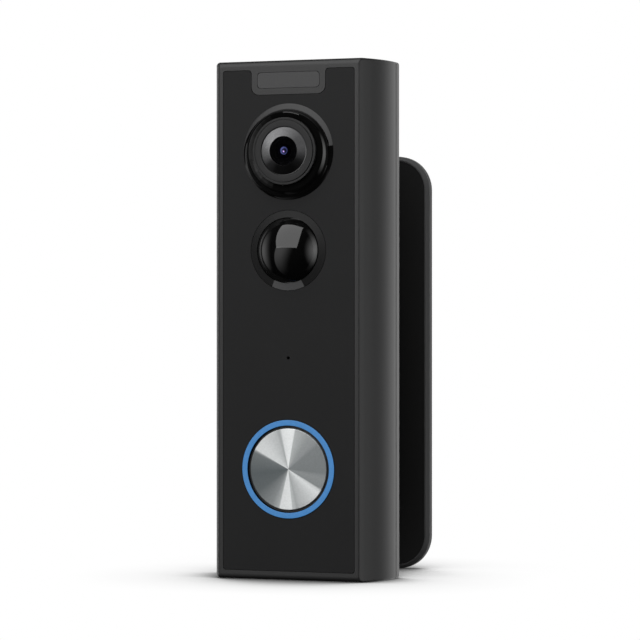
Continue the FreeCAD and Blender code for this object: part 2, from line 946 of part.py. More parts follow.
def make_button_carrier():
    """The cup behind the disc, with a flange that stops it in the guide and a stem for the switch."""
    bore = button_radius - carrier_wall
    profile = [
        (0.0, button_disc_thickness, 0),
        (button_radius, button_disc_thickness, 0),
        (button_radius, carrier_flange_front, 0),
        (button_radius + carrier_flange_width, carrier_flange_front, 0),
        (button_radius + carrier_flange_width, carrier_flange_back, 0),
        (bore, carrier_flange_back, 0),
        (bore, carrier_back, 0),
        (carrier_stem_radius, carrier_back, 0),
        (carrier_stem_radius, stem_end, 0),
        (0.0, stem_end, 0),
    ]
    return turned(profile, 0, button_z)


def make_switch_plunger():
    return disc(plunger_radius, stem_end, stem_end + plunger_length, 0, button_z)


def make_switch_body():
    size = switch_size
    body = plate(size, size, small_round, switch_front, button_board_depth, 0, button_z)
    well_end = button_board_depth - switch_floor
    return body.cut(disc(plunger_radius + running_gap, switch_front - past, well_end, 0, button_z))


def make_button_spring():
    """A coil spring between the carrier and the button board, with a closed turn at each end."""
    wire = spring_wire / 2
    start = carrier_back + wire
    length = button_board_depth - carrier_back - spring_wire
    path = Part.makeHelix(length / spring_turns, length, spring_radius)
    section = Part.Wire(Part.makeCircle(wire, Vector(spring_radius, 0, 0), Vector(0, 1, 0)))
    coil = Part.Wire(path).makePipeShell([section], True, True)
    coil.rotate(Vector(0, 0, 0), Vector(1, 0, 0), -90)
    coil.translate(Vector(0, start, button_z))
    turns = []
    for depth in (start, start + length):
        turns.append(
            Part.makeTorus(spring_radius, wire, Vector(0, depth, button_z), Vector(0, 1, 0))
        )
    return coil.fuse(turns)


def make_button_board():
    back = button_board_depth + button_board_thickness
    size = button_board_size
    board = plate(size, size, board_corner, button_board_depth, back, 0, button_z)
    reach = button_screw_spread / 2
    places = four(button_screw_spread, button_z - reach, button_z + reach)
    return board.cut(screw_holes(places, button_board_depth, back))


def make_ring_lamps():
    middle = (ring_inner + light_ring_radius) / 2
    return lamps(
        ring_lamp_count, ring_lamp_size, ring_lamp_height, middle, button_board_depth, button_z
    )


# Outdoor station: main board, battery and speaker


def make_main_board():
    height = main_board_top - main_board_bottom
    middle = (main_board_top + main_board_bottom) / 2
    board = plate(
        main_board_width, height, board_corner, main_board_depth, main_board_back, 0, middle
    )
    low = main_board_bottom + main_screw_inset
    high = main_board_top - main_screw_inset
    holes = screw_holes(four(main_screw_spread, low, high), main_board_depth, main_board_back)
    return board.cut(holes)


def make_shield_can():
    """A tin lid over the radio parts, between the microphone and the light pipe."""
    low = mic_z + mic_radius + mic_boot_wall + shield_edge_gap
    high = pir_z - light_pipe_offset - light_pipe_radius - shield_edge_gap
    middle = (low + high) / 2
    front = main_board_depth - shield_height
    lid_corner = small_round + shield_wall
    lid = plate(shield_width, high - low, lid_corner, front, main_board_depth, 0, middle)
    room = plate(
        shield_width - 2 * shield_wall,
        high - low - 2 * shield_wall,
        small_round,
        front + shield_wall,
        main_board_depth + past,
        0,
        middle,
    )
    return lid.cut(room)


def make_antenna():
    """A stamped strip that stands off the main board's top edge on two legs."""
    z = main_board_top - antenna_board_inset
    front = main_board_depth - antenna_height
    bar_back = front + antenna_strip
    bar = plate(antenna_width, antenna_bar_width, small_round, front, bar_back, 0, z)
    first = antenna_leg_width - antenna_width / 2
    legs = []
    for x in (first, first + antenna_leg_pitch):
        width = antenna_leg_width
        legs.append(plate(width, width, fine_round, front, main_board_depth, x, z))
    return bar.fuse(legs).removeSplitter()


def make_button_flex():
    """The ribbon from the button board to the main board, across their backs."""
    button_back = button_board_depth + button_board_thickness
    button_edge = button_z + button_board_size / 2
    points = [
        (main_board_back, main_board_bottom + flex_overlap),
        (main_board_back, main_board_bottom),
        (button_back, button_edge),
        (button_back, button_edge - flex_overlap),
    ]
    return strip(points, flex_thickness, flex_width, 0.0)


def make_charge_flex():
    """The ribbon from the charging board's front down to the main board's back."""
    charge_face = charge_board_front - flex_thickness
    charge_edge = port_z - charge_board_height / 2
    points = [
        (charge_face, charge_edge + charge_flex_overlap),
        (charge_face, charge_edge),
        (main_board_back, main_board_top),
        (main_board_back, main_board_top - flex_overlap),
    ]
    return strip(points, flex_thickness, charge_flex_width, charge_flex_offset)


def make_battery():
    return plate(
        battery_width,
        battery_height,
        battery_corner,
        battery_front,
        battery_back,
        0,
        battery_z,
    )


def make_battery_pad():
    """Foam between the main board and the battery, clear of the ribbon and the screw heads."""
    top = battery_z + battery_height / 2
    middle = top - battery_pad_height / 2
    return plate(
        battery_pad_width,
        battery_pad_height,
        board_corner,
        main_board_back,
        battery_front,
        0,
        middle,
    )


def make_battery_lead():
    """The flat pair of wires from the battery's top end to the main board."""
    start = battery_z + battery_height / 2
    top = start + lead_loop
    depth = battery_front + battery_thickness / 2
    corners = [
        (main_board_back, top - lead_thickness, 0),
        (main_board_back, top, 0),
        (depth + lead_thickness, top, lead_thickness),
        (depth + lead_thickness, start, 0),
        (depth, start, 0),
        (depth, top - lead_thickness, 0),
    ]
    left = lead_offset - lead_width / 2
    wire = rounded_outline(corners, lambda depth_at, z: Vector(left, depth_at, z))
    return Part.Face(wire).extrude(Vector(lead_width, 0, 0))


def foot_frame(width, front, back, low, high, opening):
    """A frame lying over the foot of the shell, with an opening through it."""
    frame = Part.makeBox(width, back - front, high - low, Vector(-width / 2, front, low))
    inner = Part.makeBox(
        width - 2 * opening,
        back - front - 2 * opening,
        high - low + 2 * past,
        Vector(-width / 2 + opening, front + opening, low - past),
    )
    return frame.cut(inner)


def make_speaker_gasket():
    return foot_frame(
        speaker_width, speaker_front, speaker_back, shell_wall, speaker_bottom, speaker_gasket_width
    )


def make_speaker():
    """The speaker's box, which faces down, with its diaphragm opening."""
    corner = Vector(-speaker_width / 2, speaker_front, speaker_bottom)
    box = Part.makeBox(speaker_width, speaker_back - speaker_front, speaker_height, corner)
    inset = 2 * speaker_gasket_width
    mouth = Part.makeBox(
        speaker_width - 2 * inset,
        speaker_back - speaker_front - 2 * inset,
        speaker_mouth_depth + past,
        Vector(-speaker_width / 2 + inset, speaker_front + inset, speaker_bottom - past),
    )
    return box.cut(mouth)


# Outdoor station: rear cover, seal and charging port


def flap_axis():
    """(depth, height) of the flap's hinge, in its upper edge."""
    return station_back - flap_thickness / 2, port_z + flap_height / 2 - flap_thickness / 2


def make_rear_seal():
    lip_outer_width = station_width - 2 * shell_wall
    lip_outer_height = station_height - 2 * shell_wall
    middle = station_height / 2
    outer = plate(
        station_width - 2 * seal_inset,
        station_height - 2 * seal_inset,
        side_edge_radius,
        shell_depth,
        cover_front,
        0,
        middle,
    )
    inner = plate(
        lip_outer_width, lip_outer_height, 0, shell_depth - past, cover_front + past, 0, middle
    )
    return outer.cut(inner)


def port_recess():
    """The pocket that the flap closes, with a finger notch under it and sockets for its pins."""
    axis_depth, axis_z = flap_axis()
    floor = station_back - flap_thickness - flap_gap
    low = port_z - flap_height / 2 - flap_gap
    high = port_z + flap_height / 2 + flap_gap
    pocket = plate(
        flap_width + 2 * flap_gap,
        high - low,
        0,
        floor,
        station_back + past,
        0,
        (low + high) / 2,
    )
    notch = disc(finger_notch, floor, station_back + past, 0, low)
    pin_span = flap_width + 2 * flap_pin_length + 2 * flap_gap
    pins = Part.makeCylinder(
        flap_pin_radius + running_gap,
        pin_span,
        Vector(-pin_span / 2, axis_depth, axis_z),
        Vector(1, 0, 0),
    )
    mouth = plate(
        socket_width + 2 * socket_gap,
        socket_height + 2 * socket_gap,
        (socket_height + 2 * socket_gap) / 2 - flat_left,
        charge_board_back,
        station_back,
        0,
        port_z,
    )
    return [pocket, notch, pins, mouth]


def make_rear_cover():
    middle = station_height / 2
    outside = plate(
        station_width, station_height, side_edge_radius, cover_front, station_back, 0, middle
    )
    outside = round_back_edges(outside, cover_edge_radius, station_back)
    inner_width = station_width - 2 * shell_wall
    inner_height = station_height - 2 * shell_wall
    hollow = plate(inner_width, inner_height, 0, cover_front - past, cover_inside, 0, middle)
    cover = outside.cut(hollow)
    lip_front = cover_front - cover_lip_length
    lip = plate(
        inner_width - 2 * lip_gap,
        inner_height - 2 * lip_gap,
        0,
        lip_front,
        cover_inside,
        0,
        middle,
    ).cut(
        plate(
            inner_width - 2 * lip_gap - 2 * cover_lip,
            inner_height - 2 * lip_gap - 2 * cover_lip,
            0,
            lip_front - past,
            cover_inside + past,
            0,
            middle,
        )
    )
    lip_root = plate(inner_width, inner_height, 0, cover_front, cover_inside, 0, middle).cut(
        plate(
            inner_width - 2 * lip_gap - 2 * cover_lip,
            inner_height - 2 * lip_gap - 2 * cover_lip,
            0,
            cover_front - past,
            cover_inside + past,
            0,
            middle,
        )
    )
    added = [lip, lip_root]
    cuts = port_recess()
    for x, z in case_screw_places():
        added.append(disc(case_boss_radius, shell_depth + running_gap, cover_inside + past, x, z))
        clear = case_screw_radius + 2 * running_gap
        cuts.append(disc(clear, shell_depth - past, station_back + past, x, z))
        head_front = station_back - case_head_depth
        cuts.append(disc(case_head_radius + 2 * running_gap, head_front, station_back + past, x, z))
    for z in (clamp_low_z, clamp_high_z):
        boss_front = clamp_bore_end - clamp_bore_floor
        added.append(disc(clamp_boss_radius, boss_front, cover_inside + past, 0, z))
        cuts.append(disc(clamp_insert_radius, clamp_bore_end, station_back + past, 0, z))
    frame = plate(
        flap_width + 2 * port_frame_width,
        flap_height + 2 * port_frame_width,
        board_corner,
        cover_inside - port_frame_depth,
        cover_inside + past / 2,
        0,
        port_z,
    )
    added.append(frame)
    half = charge_screw_spread / 2
    for x in (-half, half):
        added.append(disc(board_boss_radius, charge_board_back, cover_inside + past / 2, x, port_z))
        bore_end = charge_board_front + charge_screw_length + running_gap
        cuts.append(
            disc(board_screw_radius + running_gap, charge_board_back - past, bore_end, x, port_z)
        )
    rib_front = battery_back + battery_rib_gap
    for x in (-battery_width / 4, battery_width / 4):
        rib_height = battery_height / 2
        added.append(
            plate(battery_rib, rib_height, 0, rib_front, cover_inside + past / 2, x, battery_z)
        )
    return cover.fuse(added).cut(cuts).removeSplitter()


def make_charge_board():
    board = plate(
        charge_board_width,
        charge_board_height,
        board_corner,
        charge_board_front,
        charge_board_back,
        0,
        port_z,
    )
    half = charge_screw_spread / 2
    holes = screw_holes([(-half, port_z), (half, port_z)], charge_board_front, charge_board_back)
    return board.cut(holes)


def make_charge_socket():
    """A flat oval tin sleeve with a tongue inside."""
    corner = socket_height / 2 - flat_left
    sleeve = plate(
        socket_width, socket_height, corner, charge_board_back, socket_mouth, 0, port_z
    )
    inner_corner = (socket_height - 2 * socket_wall) / 2 - flat_left
    floor = charge_board_back + socket_tongue_sink
    room = plate(
        socket_width - 2 * socket_wall,
        socket_height - 2 * socket_wall,
        inner_corner,
        floor,
        socket_mouth + past,
        0,
        port_z,
    )
    tongue_width = socket_width - socket_height
    tongue = plate(
        tongue_width,
        socket_tongue_thickness,
        fine_round,
        charge_board_back,
        socket_mouth - socket_tongue_sink,
        0,
        port_z,
    )
    return sleeve.cut(room).fuse(tongue).removeSplitter()


def make_port_flap():
    """A rubber flap with a rounded upper edge and two hinge pins."""
    axis_depth, axis_z = flap_axis()
    half_thickness = flap_thickness / 2
    low = port_z - flap_height / 2
    inner_face = station_back - flap_thickness
    corners = [
        (inner_face, low, small_round),
        (station_back, low, small_round),
        (station_back, axis_z + half_thickness, half_thickness - flat_left),
        (inner_face, axis_z + half_thickness, half_thickness - flat_left),
    ]
    wire = rounded_outline(corners, lambda depth, z: Vector(-flap_width / 2, depth, z))
    flap = Part.Face(wire).extrude(Vector(flap_width, 0, 0))
    span = flap_width + 2 * flap_pin_length
    pins = Part.makeCylinder(
        flap_pin_radius, span, Vector(-span / 2, axis_depth, axis_z), Vector(1, 0, 0)
    )
    return flap.fuse(pins).removeSplitter()


# Screws


def pan_screw(radius, head_radius, head_height, seat, length, x, z):
    """A screw driven from the back: its head sits behind the seat, its thread runs forward."""
    thread = disc(radius, seat - length, seat + head_height / 2, x, z)
    head = disc(head_radius, seat, seat + head_height, x, z)
    cross = []
    for wide, high in ((head_radius, drive_slot), (drive_slot, head_radius)):
        cross.append(
            plate(wide, high, 0, seat + head_height / 2, seat + head_height + past, x, z)
        )
    return thread.fuse(head).cut(cross).removeSplitter()


def make_board_screws():
    screws = []
    for x, z, front, back in board_screw_places():
        screws.append(
            pan_screw(
                board_screw_radius,
                board_head_radius,
                board_head_height,
                back,
                board_screw_length,
                x,
                z,
            )
        )
    half = charge_screw_spread / 2
    for x in (-half, half):
        screw = pan_screw(
            board_screw_radius,
            board_head_radius,
            board_head_height,
            0.0,
            charge_screw_length,
            0.0,
            0.0,
        )
        screw.rotate(Vector(0, 0, 0), Vector(0, 0, 1), 180)
        screw.translate(Vector(x, charge_board_front, port_z))
        screws.append(screw)
    return screws


def make_case_screws():
    seat = station_back - case_head_depth
    screws = []
    for x, z in case_screw_places():
        screws.append(
            pan_screw(
                case_screw_radius,
                case_head_radius,
                case_head_depth,
                seat,
                case_screw_length - case_head_depth,
                x,
                z,
            )
        )
    return screws


def make_clamp_inserts():
    """Threaded bushes in the rear cover's bosses, one for each through-door screw."""
    bushes = []
    for z in (clamp_low_z, clamp_high_z):
        bore = clamp_screw_radius + running_gap
        bushes.append(ring(clamp_insert_radius, bore, clamp_bore_end, station_back, 0, z))
    return bushes


def make_clamp_screws():
    """The two long screws, from the indoor tray to the bushes in the station."""
    screws = []
    socket_front = tray_back + clamp_head_height - clamp_hex_depth
    corner_radius = clamp_hex_width / 2 / math.cos(math.pi / clamp_hex_sides)
    for z in (clamp_low_z, clamp_high_z):
        shank = disc(clamp_screw_radius, clamp_tip, tray_back + clamp_head_height / 2, 0, z)
        head = disc(clamp_head_radius, tray_back, tray_back + clamp_head_height, 0, z)
        corners = []
        for side in range(clamp_hex_sides):
            angle = 2 * math.pi * side / clamp_hex_sides
            x = corner_radius * math.cos(angle)
            corners.append(Vector(x, socket_front, z + corner_radius * math.sin(angle)))
        hexagon = Part.Face(Part.makePolygon(corners + corners[:1]))
        socket = hexagon.extrude(Vector(0, clamp_hex_depth + past, 0))
        screws.append(shank.fuse(head).cut(socket).removeSplitter())
    return screws


# Indoor plate


def indoor_blank(inset, front, back):
    """The indoor plate's outline, inset all round, standing on the same surface as the station."""
    return plate(
        plate_width - 2 * inset,
        plate_height - 2 * inset,
        plate_corner - inset,
        front,
        back,
        0,
        plate_height / 2,
    )


def clamp_holes(front, back):
    """Clearance holes for the through-door screws."""
    radius = clamp_screw_radius + clamp_hole_gap
    return [disc(radius, front - past, back + past, 0, z) for z in (clamp_low_z, clamp_high_z)]


def snap_places():
    """Where the indoor cover's pins enter the tray, as (x, z)."""
    middle = plate_height / 2
    return four(snap_pin_spread, middle - snap_pin_rows / 2, middle + snap_pin_rows / 2)


def make_indoor_tray():
    """The half of the plate that faces the door, with a pocket for the stiffener and the pad."""
    tray = indoor_blank(0.0, plate_front, tray_back)
    front_rim = [e for e in tray.Edges if e.BoundBox.YMax < plate_front + on_face]
    tray = tray.makeChamfer(tray_edge_chamfer, front_rim)
    pocket = indoor_blank(tray_rim, plate_front - past, tray_back - tray_floor)
    cuts = [pocket] + clamp_holes(plate_front, tray_back)
    for x, z in snap_places():
        radius = snap_pin_radius + running_gap
        cuts.append(disc(radius, tray_back - tray_floor - past, tray_back + past, x, z))
    return tray.cut(cuts)


def make_stiffener_plate():
    back = tray_back - tray_floor
    sheet = indoor_blank(tray_rim + pad_gap, back - stiffener_thickness, back)
    return sheet.cut(clamp_holes(back - stiffener_thickness, back))


def make_door_pad():
    back = tray_back - tray_floor - stiffener_thickness
    pad = indoor_blank(tray_rim + pad_gap, plate_front, back)
    return pad.cut(clamp_holes(plate_front, back))


def make_indoor_cover():
    """The half of the plate that faces the room. It hides the screw heads."""
    cover = indoor_blank(0.0, tray_back, object_back)
    cover = round_back_edges(cover, indoor_cover_edge_radius, object_back)
    hollow = indoor_blank(tray_rim, tray_back - past, object_back - indoor_cover_wall)
    pins = []
    for x, z in snap_places():
        pin_front = tray_back - tray_floor + running_gap
        pins.append(disc(snap_pin_radius, pin_front, object_back - indoor_cover_wall / 2, x, z))
    return cover.cut(hollow).fuse(pins).removeSplitter()


def main():
    os.makedirs("parts", exist_ok=True)
    save("main_shell", make_main_shell())
    save("front_panel", make_front_panel())
    save("name_plate", make_name_plate())
    save("camera_bezel", make_camera_bezel())
    save("lens_shroud", make_lens_shroud())
    save("lens_trim_ring", make_lens_trim_ring())
    save("lens_glass", make_lens_glass())
    save("lens_element", make_lens_element())
    save("lens_barrel", make_lens_barrel())
    save("lens_holder", make_lens_holder())
    save("ir_board", make_ir_board())
    save("ir_lamps", *make_ir_lamps())
    save("image_sensor", make_image_sensor())
    save("camera_board", make_camera_board())
    save("camera_flex", make_camera_flex())
    save("pir_dome", make_pir_dome())
    save("pir_ring", make_pir_ring())
    save("sensor_window", make_sensor_window())
    save("pir_sensor", make_pir_sensor())
    save("pir_spacer", make_pir_spacer())
    save("mic_boot", make_mic_boot())
    save("microphone", make_microphone())
    save("light_ring", make_light_ring())
    save("button_cap", make_button_cap())
    save("button_guide", make_button_guide())
    save("button_carrier", make_button_carrier())
    save("button_spring", make_button_spring())
    save("switch_plunger", make_switch_plunger())
    save("switch_body", make_switch_body())
    save("button_board", make_button_board())
    save("ring_lamps", *make_ring_lamps())
    save("button_flex", make_button_flex())
    save("main_board", make_main_board())
    save("shield_can", make_shield_can())
    save("antenna", make_antenna())
    save("battery", make_battery())
    save("battery_pad", make_battery_pad())
    save("battery_lead", make_battery_lead())
    save("speaker_gasket", make_speaker_gasket())
    save("speaker", make_speaker())
    save("rear_seal", make_rear_seal())
    save("rear_cover", make_rear_cover())
    save("charge_board", make_charge_board())
    save("charge_flex", make_charge_flex())
    save("charge_socket", make_charge_socket())
    save("port_flap", make_port_flap())
    save("board_screws", *make_board_screws())
    save("case_screws", *make_case_screws())
    save("clamp_inserts", *make_clamp_inserts())
    save("clamp_screws", *make_clamp_screws())
    save("indoor_tray", make_indoor_tray())
    save("stiffener_plate", make_stiffener_plate())
    save("door_pad", make_door_pad())
    save("indoor_cover", make_indoor_cover())


main()
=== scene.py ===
"""Video door phone: an outdoor station and an indoor plate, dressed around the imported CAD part."""

import math

import bmesh
import bpy
from bpy.props import FloatProperty, FloatVectorProperty, IntProperty, PointerProperty
from mathutils import Matrix, Vector


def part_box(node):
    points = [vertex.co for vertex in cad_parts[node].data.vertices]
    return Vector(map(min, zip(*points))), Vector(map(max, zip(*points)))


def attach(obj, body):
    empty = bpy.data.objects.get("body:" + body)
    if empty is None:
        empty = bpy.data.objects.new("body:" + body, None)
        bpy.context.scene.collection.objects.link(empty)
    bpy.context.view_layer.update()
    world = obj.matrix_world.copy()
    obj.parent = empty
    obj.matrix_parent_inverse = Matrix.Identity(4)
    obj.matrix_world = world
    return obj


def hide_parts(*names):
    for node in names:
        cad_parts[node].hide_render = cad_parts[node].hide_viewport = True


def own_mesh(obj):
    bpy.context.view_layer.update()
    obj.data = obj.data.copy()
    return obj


bl_info = {
    "name": "Video door phone",
    "version": (1, 0, 0),
    "blender": (4, 5, 0),
    "location": "3D View > Sidebar > Door phone",
    "description": "Builds the finishes and fine pieces of a door phone, and its studio",
    "category": "Object",
}

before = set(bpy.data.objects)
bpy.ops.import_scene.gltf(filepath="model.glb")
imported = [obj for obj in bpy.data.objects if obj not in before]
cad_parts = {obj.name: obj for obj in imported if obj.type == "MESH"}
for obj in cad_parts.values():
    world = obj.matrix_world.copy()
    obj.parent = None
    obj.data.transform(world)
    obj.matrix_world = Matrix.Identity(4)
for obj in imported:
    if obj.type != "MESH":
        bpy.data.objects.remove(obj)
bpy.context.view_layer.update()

MM = 0.001
FACE_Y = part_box("front_panel")[0].y

PEEL = 0.004  # size of the orange peel on polished plastic
PEEL_HEIGHT = 0.000004
SAME_PLACE = 0.000002  # mesh points nearer than this are one
LEAN = math.radians(14)  # the bezel's lowered rings sit away from this clock angle
COLOUR_A, COLOUR_B, COLOUR_RESULT = 6, 7, 2  # a Mix node's colour sockets


def axis_height(node):
    """Height of a round node's axis."""
    low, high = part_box(node)
    return (low.z + high.z) / 2


# Sizes and colours that a user would change


def colour(name, text, value):
    """A colour setting."""
    return FloatVectorProperty(
        name=name, description=text, subtype="COLOR", size=3, min=0.0, max=1.0, default=value
    )


def length(name, text, value):
    """A length setting, in metres."""
    return FloatProperty(name=name, description=text, unit="LENGTH", precision=5, default=value)


def radiance(name, text, value):
    """How bright a light is, with 1 as white."""
    return FloatProperty(name=name, description=text, min=0.0, default=value)


class PlasticFinishes(bpy.types.PropertyGroup):
    """Colours and grain of the moulded pieces."""

    housing: colour("Housing", "Charcoal of the shell and rear cover", (0.008, 0.008, 0.0082))
    panel: colour("Front panel", "Darker charcoal of the inset panel", (0.0135, 0.0135, 0.0138))
    plate: colour("Indoor plate", "Charcoal of the indoor plate", (0.062, 0.062, 0.063))
    pad: colour("Door pad", "Rubber pad that faces the door", (0.003, 0.003, 0.003))
    gloss: colour("Gloss black", "Bezel and dome", (0.0026, 0.0026, 0.0026))
    # the brow's lighter satin is a painted highlight on the bezel's upper side
    brow_highlight: colour("Brow", "Satin slope round the camera", (0.016, 0.016, 0.0165))
    night_window: colour("Night window", "Flat ring round the lens", (0.007, 0.007, 0.0073))
    sensor_ring: colour("Sensor ring", "Ring round the dome", (0.0022, 0.0022, 0.0023))
    sensor_window: colour("Sensor window", "Lighter arc under the dome", (0.055, 0.055, 0.0560))
    grain: length("Grain", "Size of the moulded grain", 0.00022)
    grain_height: length("Grain height", "Height of the moulded grain", 0.0000065)


class MetalFinishes(bpy.types.PropertyGroup):
    """Colours of the metal and lit pieces and of the lens coating."""

    glow: colour("Ring light", "Blue of the ring round the bell button", (0.045, 0.205, 0.488))
    # the trim's tone is painted: this is where its painted highlight is lightest, at the upper left
    trim: colour("Lens trim", "Turned metal ring where it is lightest", (0.26, 0.26, 0.266))
    # the disc's sectors are a painted reflection, between these brightest and darkest tones
    disc_reflection_bright: colour("Disc, bright", "Brightest sector of the disc", (0.86, 0.88, 0.88))
    disc_reflection_dark: colour("Disc, dark", "Darkest sector of the disc", (0.075, 0.09, 0.095))
    coating: colour("Lens coating", "Violet reflection in the lens", (0.070, 0.080, 0.230))
    turning: length("Turning", "Pitch of the disc's turned lines", 0.00016)


class RoundPieces(bpy.types.PropertyGroup):
    """How finely the round pieces are built, and the sizes of the return spring."""

    segments: IntProperty(name="Segments", description="Faces round a turned piece", min=48, default=224)
    arc_steps: IntProperty(name="Arc steps", description="Faces along a rounded edge", min=2, default=10)
    spring_radius: length("Spring radius", "From the axis to the middle of the wire", 0.0056)
    spring_wire: length("Spring wire", "Diameter of the wire", 0.0006)
    spring_turns: FloatProperty(
        name="Spring turns", description="Open turns between the closed ends", min=1.0, default=3.5
    )
    bell_travel: length("Bell travel", "How far the button goes in", 0.0008)


class StudioSettings(bpy.types.PropertyGroup):
    """The camera and the lights."""

    lens: FloatProperty(name="Lens", description="Focal length", unit="CAMERA", default=162.28)
    turn: FloatProperty(
        name="Turn", description="Turn to the object's right", subtype="ANGLE", default=math.radians(20.7)
    )
    distance: length("Distance", "From the camera to the station's front corner", 0.93252)
    aside: length("Aside", "From the picture's middle to that corner", 0.01259)
    height: length("Height", "Height of the camera", 0.08508)
    key_light: radiance("Key light", "Radiance of the softbox", 2.55)
    key_reach: length("Key distance", "Scale of the softbox and of its distance", 1.15)
    side_light: radiance("Side light", "Radiance of the glow at the right", 2.2)
    edge_light: radiance("Edge light", "Radiance of the glow at the left", 0.95)
    low_light: radiance("Low light", "Radiance of the glow low in front", 1.1)
    back_light: radiance("Back light", "Radiance of the white behind the object", 1.85)
    room_light: radiance("Room light", "Even light from above and all round", 0.15)


def plastics():
    """The settings of the plastics."""
    return bpy.context.scene.door_phone_plastics


def metals():
    """The settings of the metals."""
    return bpy.context.scene.door_phone_metals


def round_pieces():
    """The settings of the round pieces."""
    return bpy.context.scene.door_phone_round


# Node materials


class NodeSheet:
    """A node tree under construction."""

    def __init__(self, tree):
        self.nodes = tree.nodes
        self.links = tree.links

    def add(self, kind, **values):
        """A node with its unlinked sockets and its properties set by name."""
        node = self.nodes.new(kind)
        for name, value in values.items():
            label = name.replace("_", " ").title()
            if label in node.inputs:
                node.inputs[label].default_value = value
            else:
                setattr(node, name, value)
        return node

    def link(self, source, target):
        """A link from an output to a socket."""
        self.links.new(source, target)

    def math(self, operation, first, second=None):
        """The output of a Math node on numbers or outputs."""
        node = self.add("ShaderNodeMath", operation=operation)
        for socket, value in zip(node.inputs, (first, second)):
            if isinstance(value, (int, float)):
                socket.default_value = value
            elif value is not None:
                self.link(value, socket)
        return node.outputs["Value"]

    def product(self, *values):
        """All values multiplied."""
        result = values[0]
        for value in values[1:]:
            result = self.math("MULTIPLY", result, value)
        return result

    def total(self, *values):
        """All values added up."""
        result = values[0]
        for value in values[1:]:
            result = self.math("ADD", result, value)
        return result

    def rise(self, value, start, end):
        """Smooth step from 0 at start to 1 at end; start may be the larger."""
        node = self.add(
            "ShaderNodeMapRange",
            interpolation_type="SMOOTHSTEP",
            from_min=min(start, end),
            from_max=max(start, end),
            to_min=0.0 if start < end else 1.0,
            to_max=1.0 if start < end else 0.0,
        )
        self.link(value, node.inputs["Value"])
        return node.outputs["Result"]

    def span(self, value, low, high):
        """Maps 0..1 to low..high."""
        node = self.add("ShaderNodeMapRange", to_min=low, to_max=high)
        self.link(value, node.inputs["Value"])
        return node.outputs["Result"]


class Finish(NodeSheet):
    """A node material under construction, with the shader that ends it."""

    def __init__(self, name):
        self.material = bpy.data.materials.new(name)
        self.material.use_nodes = True
        super().__init__(self.material.node_tree)
        self.shader = next(n for n in self.nodes if n.type == "BSDF_PRINCIPLED")

    def set(self, **values):
        """Constants on the shader's own sockets."""
        for name, value in values.items():
            label = name.replace("_", " ").title().replace("Ior", "IOR")
            self.shader.inputs[label].default_value = value

    def place(self):
        """Position on the object, in metres."""
        return self.add("ShaderNodeTexCoord").outputs["Object"]

    def noise(self, size, detail=2.0, roughness=0.5, place=None):
        """Noise whose blotches are about size across."""
        node = self.add("ShaderNodeTexNoise", scale=1.0 / size, detail=detail, roughness=roughness)
        self.link(place or self.place(), node.inputs["Vector"])
        return node.outputs["Fac"]

    def ramp(self, value, stops):
        """A colour ramp through (position, colour) stops."""
        node = self.add("ShaderNodeValToRGB")
        elements = node.color_ramp.elements
        while len(elements) > 1:
            elements.remove(elements[-1])
        elements[0].position, elements[0].color = stops[0][0], (*stops[0][1], 1.0)
        for position, tone in stops[1:]:
            elements.new(position).color = (*tone, 1.0)
        self.link(value, node.inputs["Fac"])
        return node.outputs["Color"]

    def greys(self, value, stops):
        """A grey ramp through (position, level) stops."""
        return self.ramp(value, [(position, (level, level, level)) for position, level in stops])

    def sectors(self, angle, stops, tone=(1.0, 1.0, 1.0)):
        """Levels of a tone round a clock angle, through (degrees, level) stops."""
        return self.ramp(angle, [
            (degrees / 360, tuple(level * channel for channel in tone)) for degrees, level in stops
        ])

    def mixed(self, kind, factor, first, second):
        """Two colours put together; the factor is a number or an output."""
        node = self.add("ShaderNodeMix", data_type="RGBA", blend_type=kind)
        if isinstance(factor, float):
            node.inputs["Factor"].default_value = factor
        else:
            self.link(factor, node.inputs["Factor"])
        self.link(first, node.inputs[COLOUR_A])
        self.link(second, node.inputs[COLOUR_B])
        return node.outputs[COLOUR_RESULT]

    def paint(self, colour_output):
        """The output that colours the shader."""
        self.link(colour_output, self.shader.inputs["Base Color"])

    def roughen(self, value, low, high):
        """Roughness from low to high as the value goes from 0 to 1."""
        self.link(self.span(value, low, high), self.shader.inputs["Roughness"])

    def bump(self, value, height):
        """Fine relief of a given height."""
        node = self.add("ShaderNodeBump", distance=height)
        self.link(value, node.inputs["Height"])
        self.link(node.outputs["Normal"], self.shader.inputs["Normal"])


def tinted(tone, change):
    """A colour made lighter or darker by a share of itself."""
    return tuple(min(1.0, channel * (1.0 + change)) for channel in tone)


def moulded(name, tone, roughness, grain, height, variation=0.10, specular=0.5):
    """Moulded plastic: fine grain, with slow changes of colour and gloss."""
    finish = Finish(name)
    fine = finish.noise(grain, detail=3.0, roughness=0.6)
    slow = finish.noise(grain * 90, detail=2.0)
    mix = finish.total(finish.product(fine, 0.7), finish.product(slow, 0.3))
    finish.paint(finish.ramp(mix, [(0.3, tinted(tone, -variation)), (0.7, tinted(tone, variation))]))
    finish.roughen(mix, roughness - 0.04, roughness + 0.05)
    finish.bump(fine, height)
    finish.set(specular_ior_level=specular)
    return finish.material


def polished(name, tone, roughness=0.04, specular=0.5):
    """Polished plastic, with a faint orange peel."""
    finish = Finish(name)
    peel = finish.noise(PEEL, detail=1.0)
    finish.paint(finish.ramp(peel, [(0.3, tone), (0.7, tinted(tone, 0.3))]))
    finish.roughen(peel, roughness, roughness + 0.02)
    finish.bump(peel, PEEL_HEIGHT)
    finish.set(specular_ior_level=specular)
    return finish.material


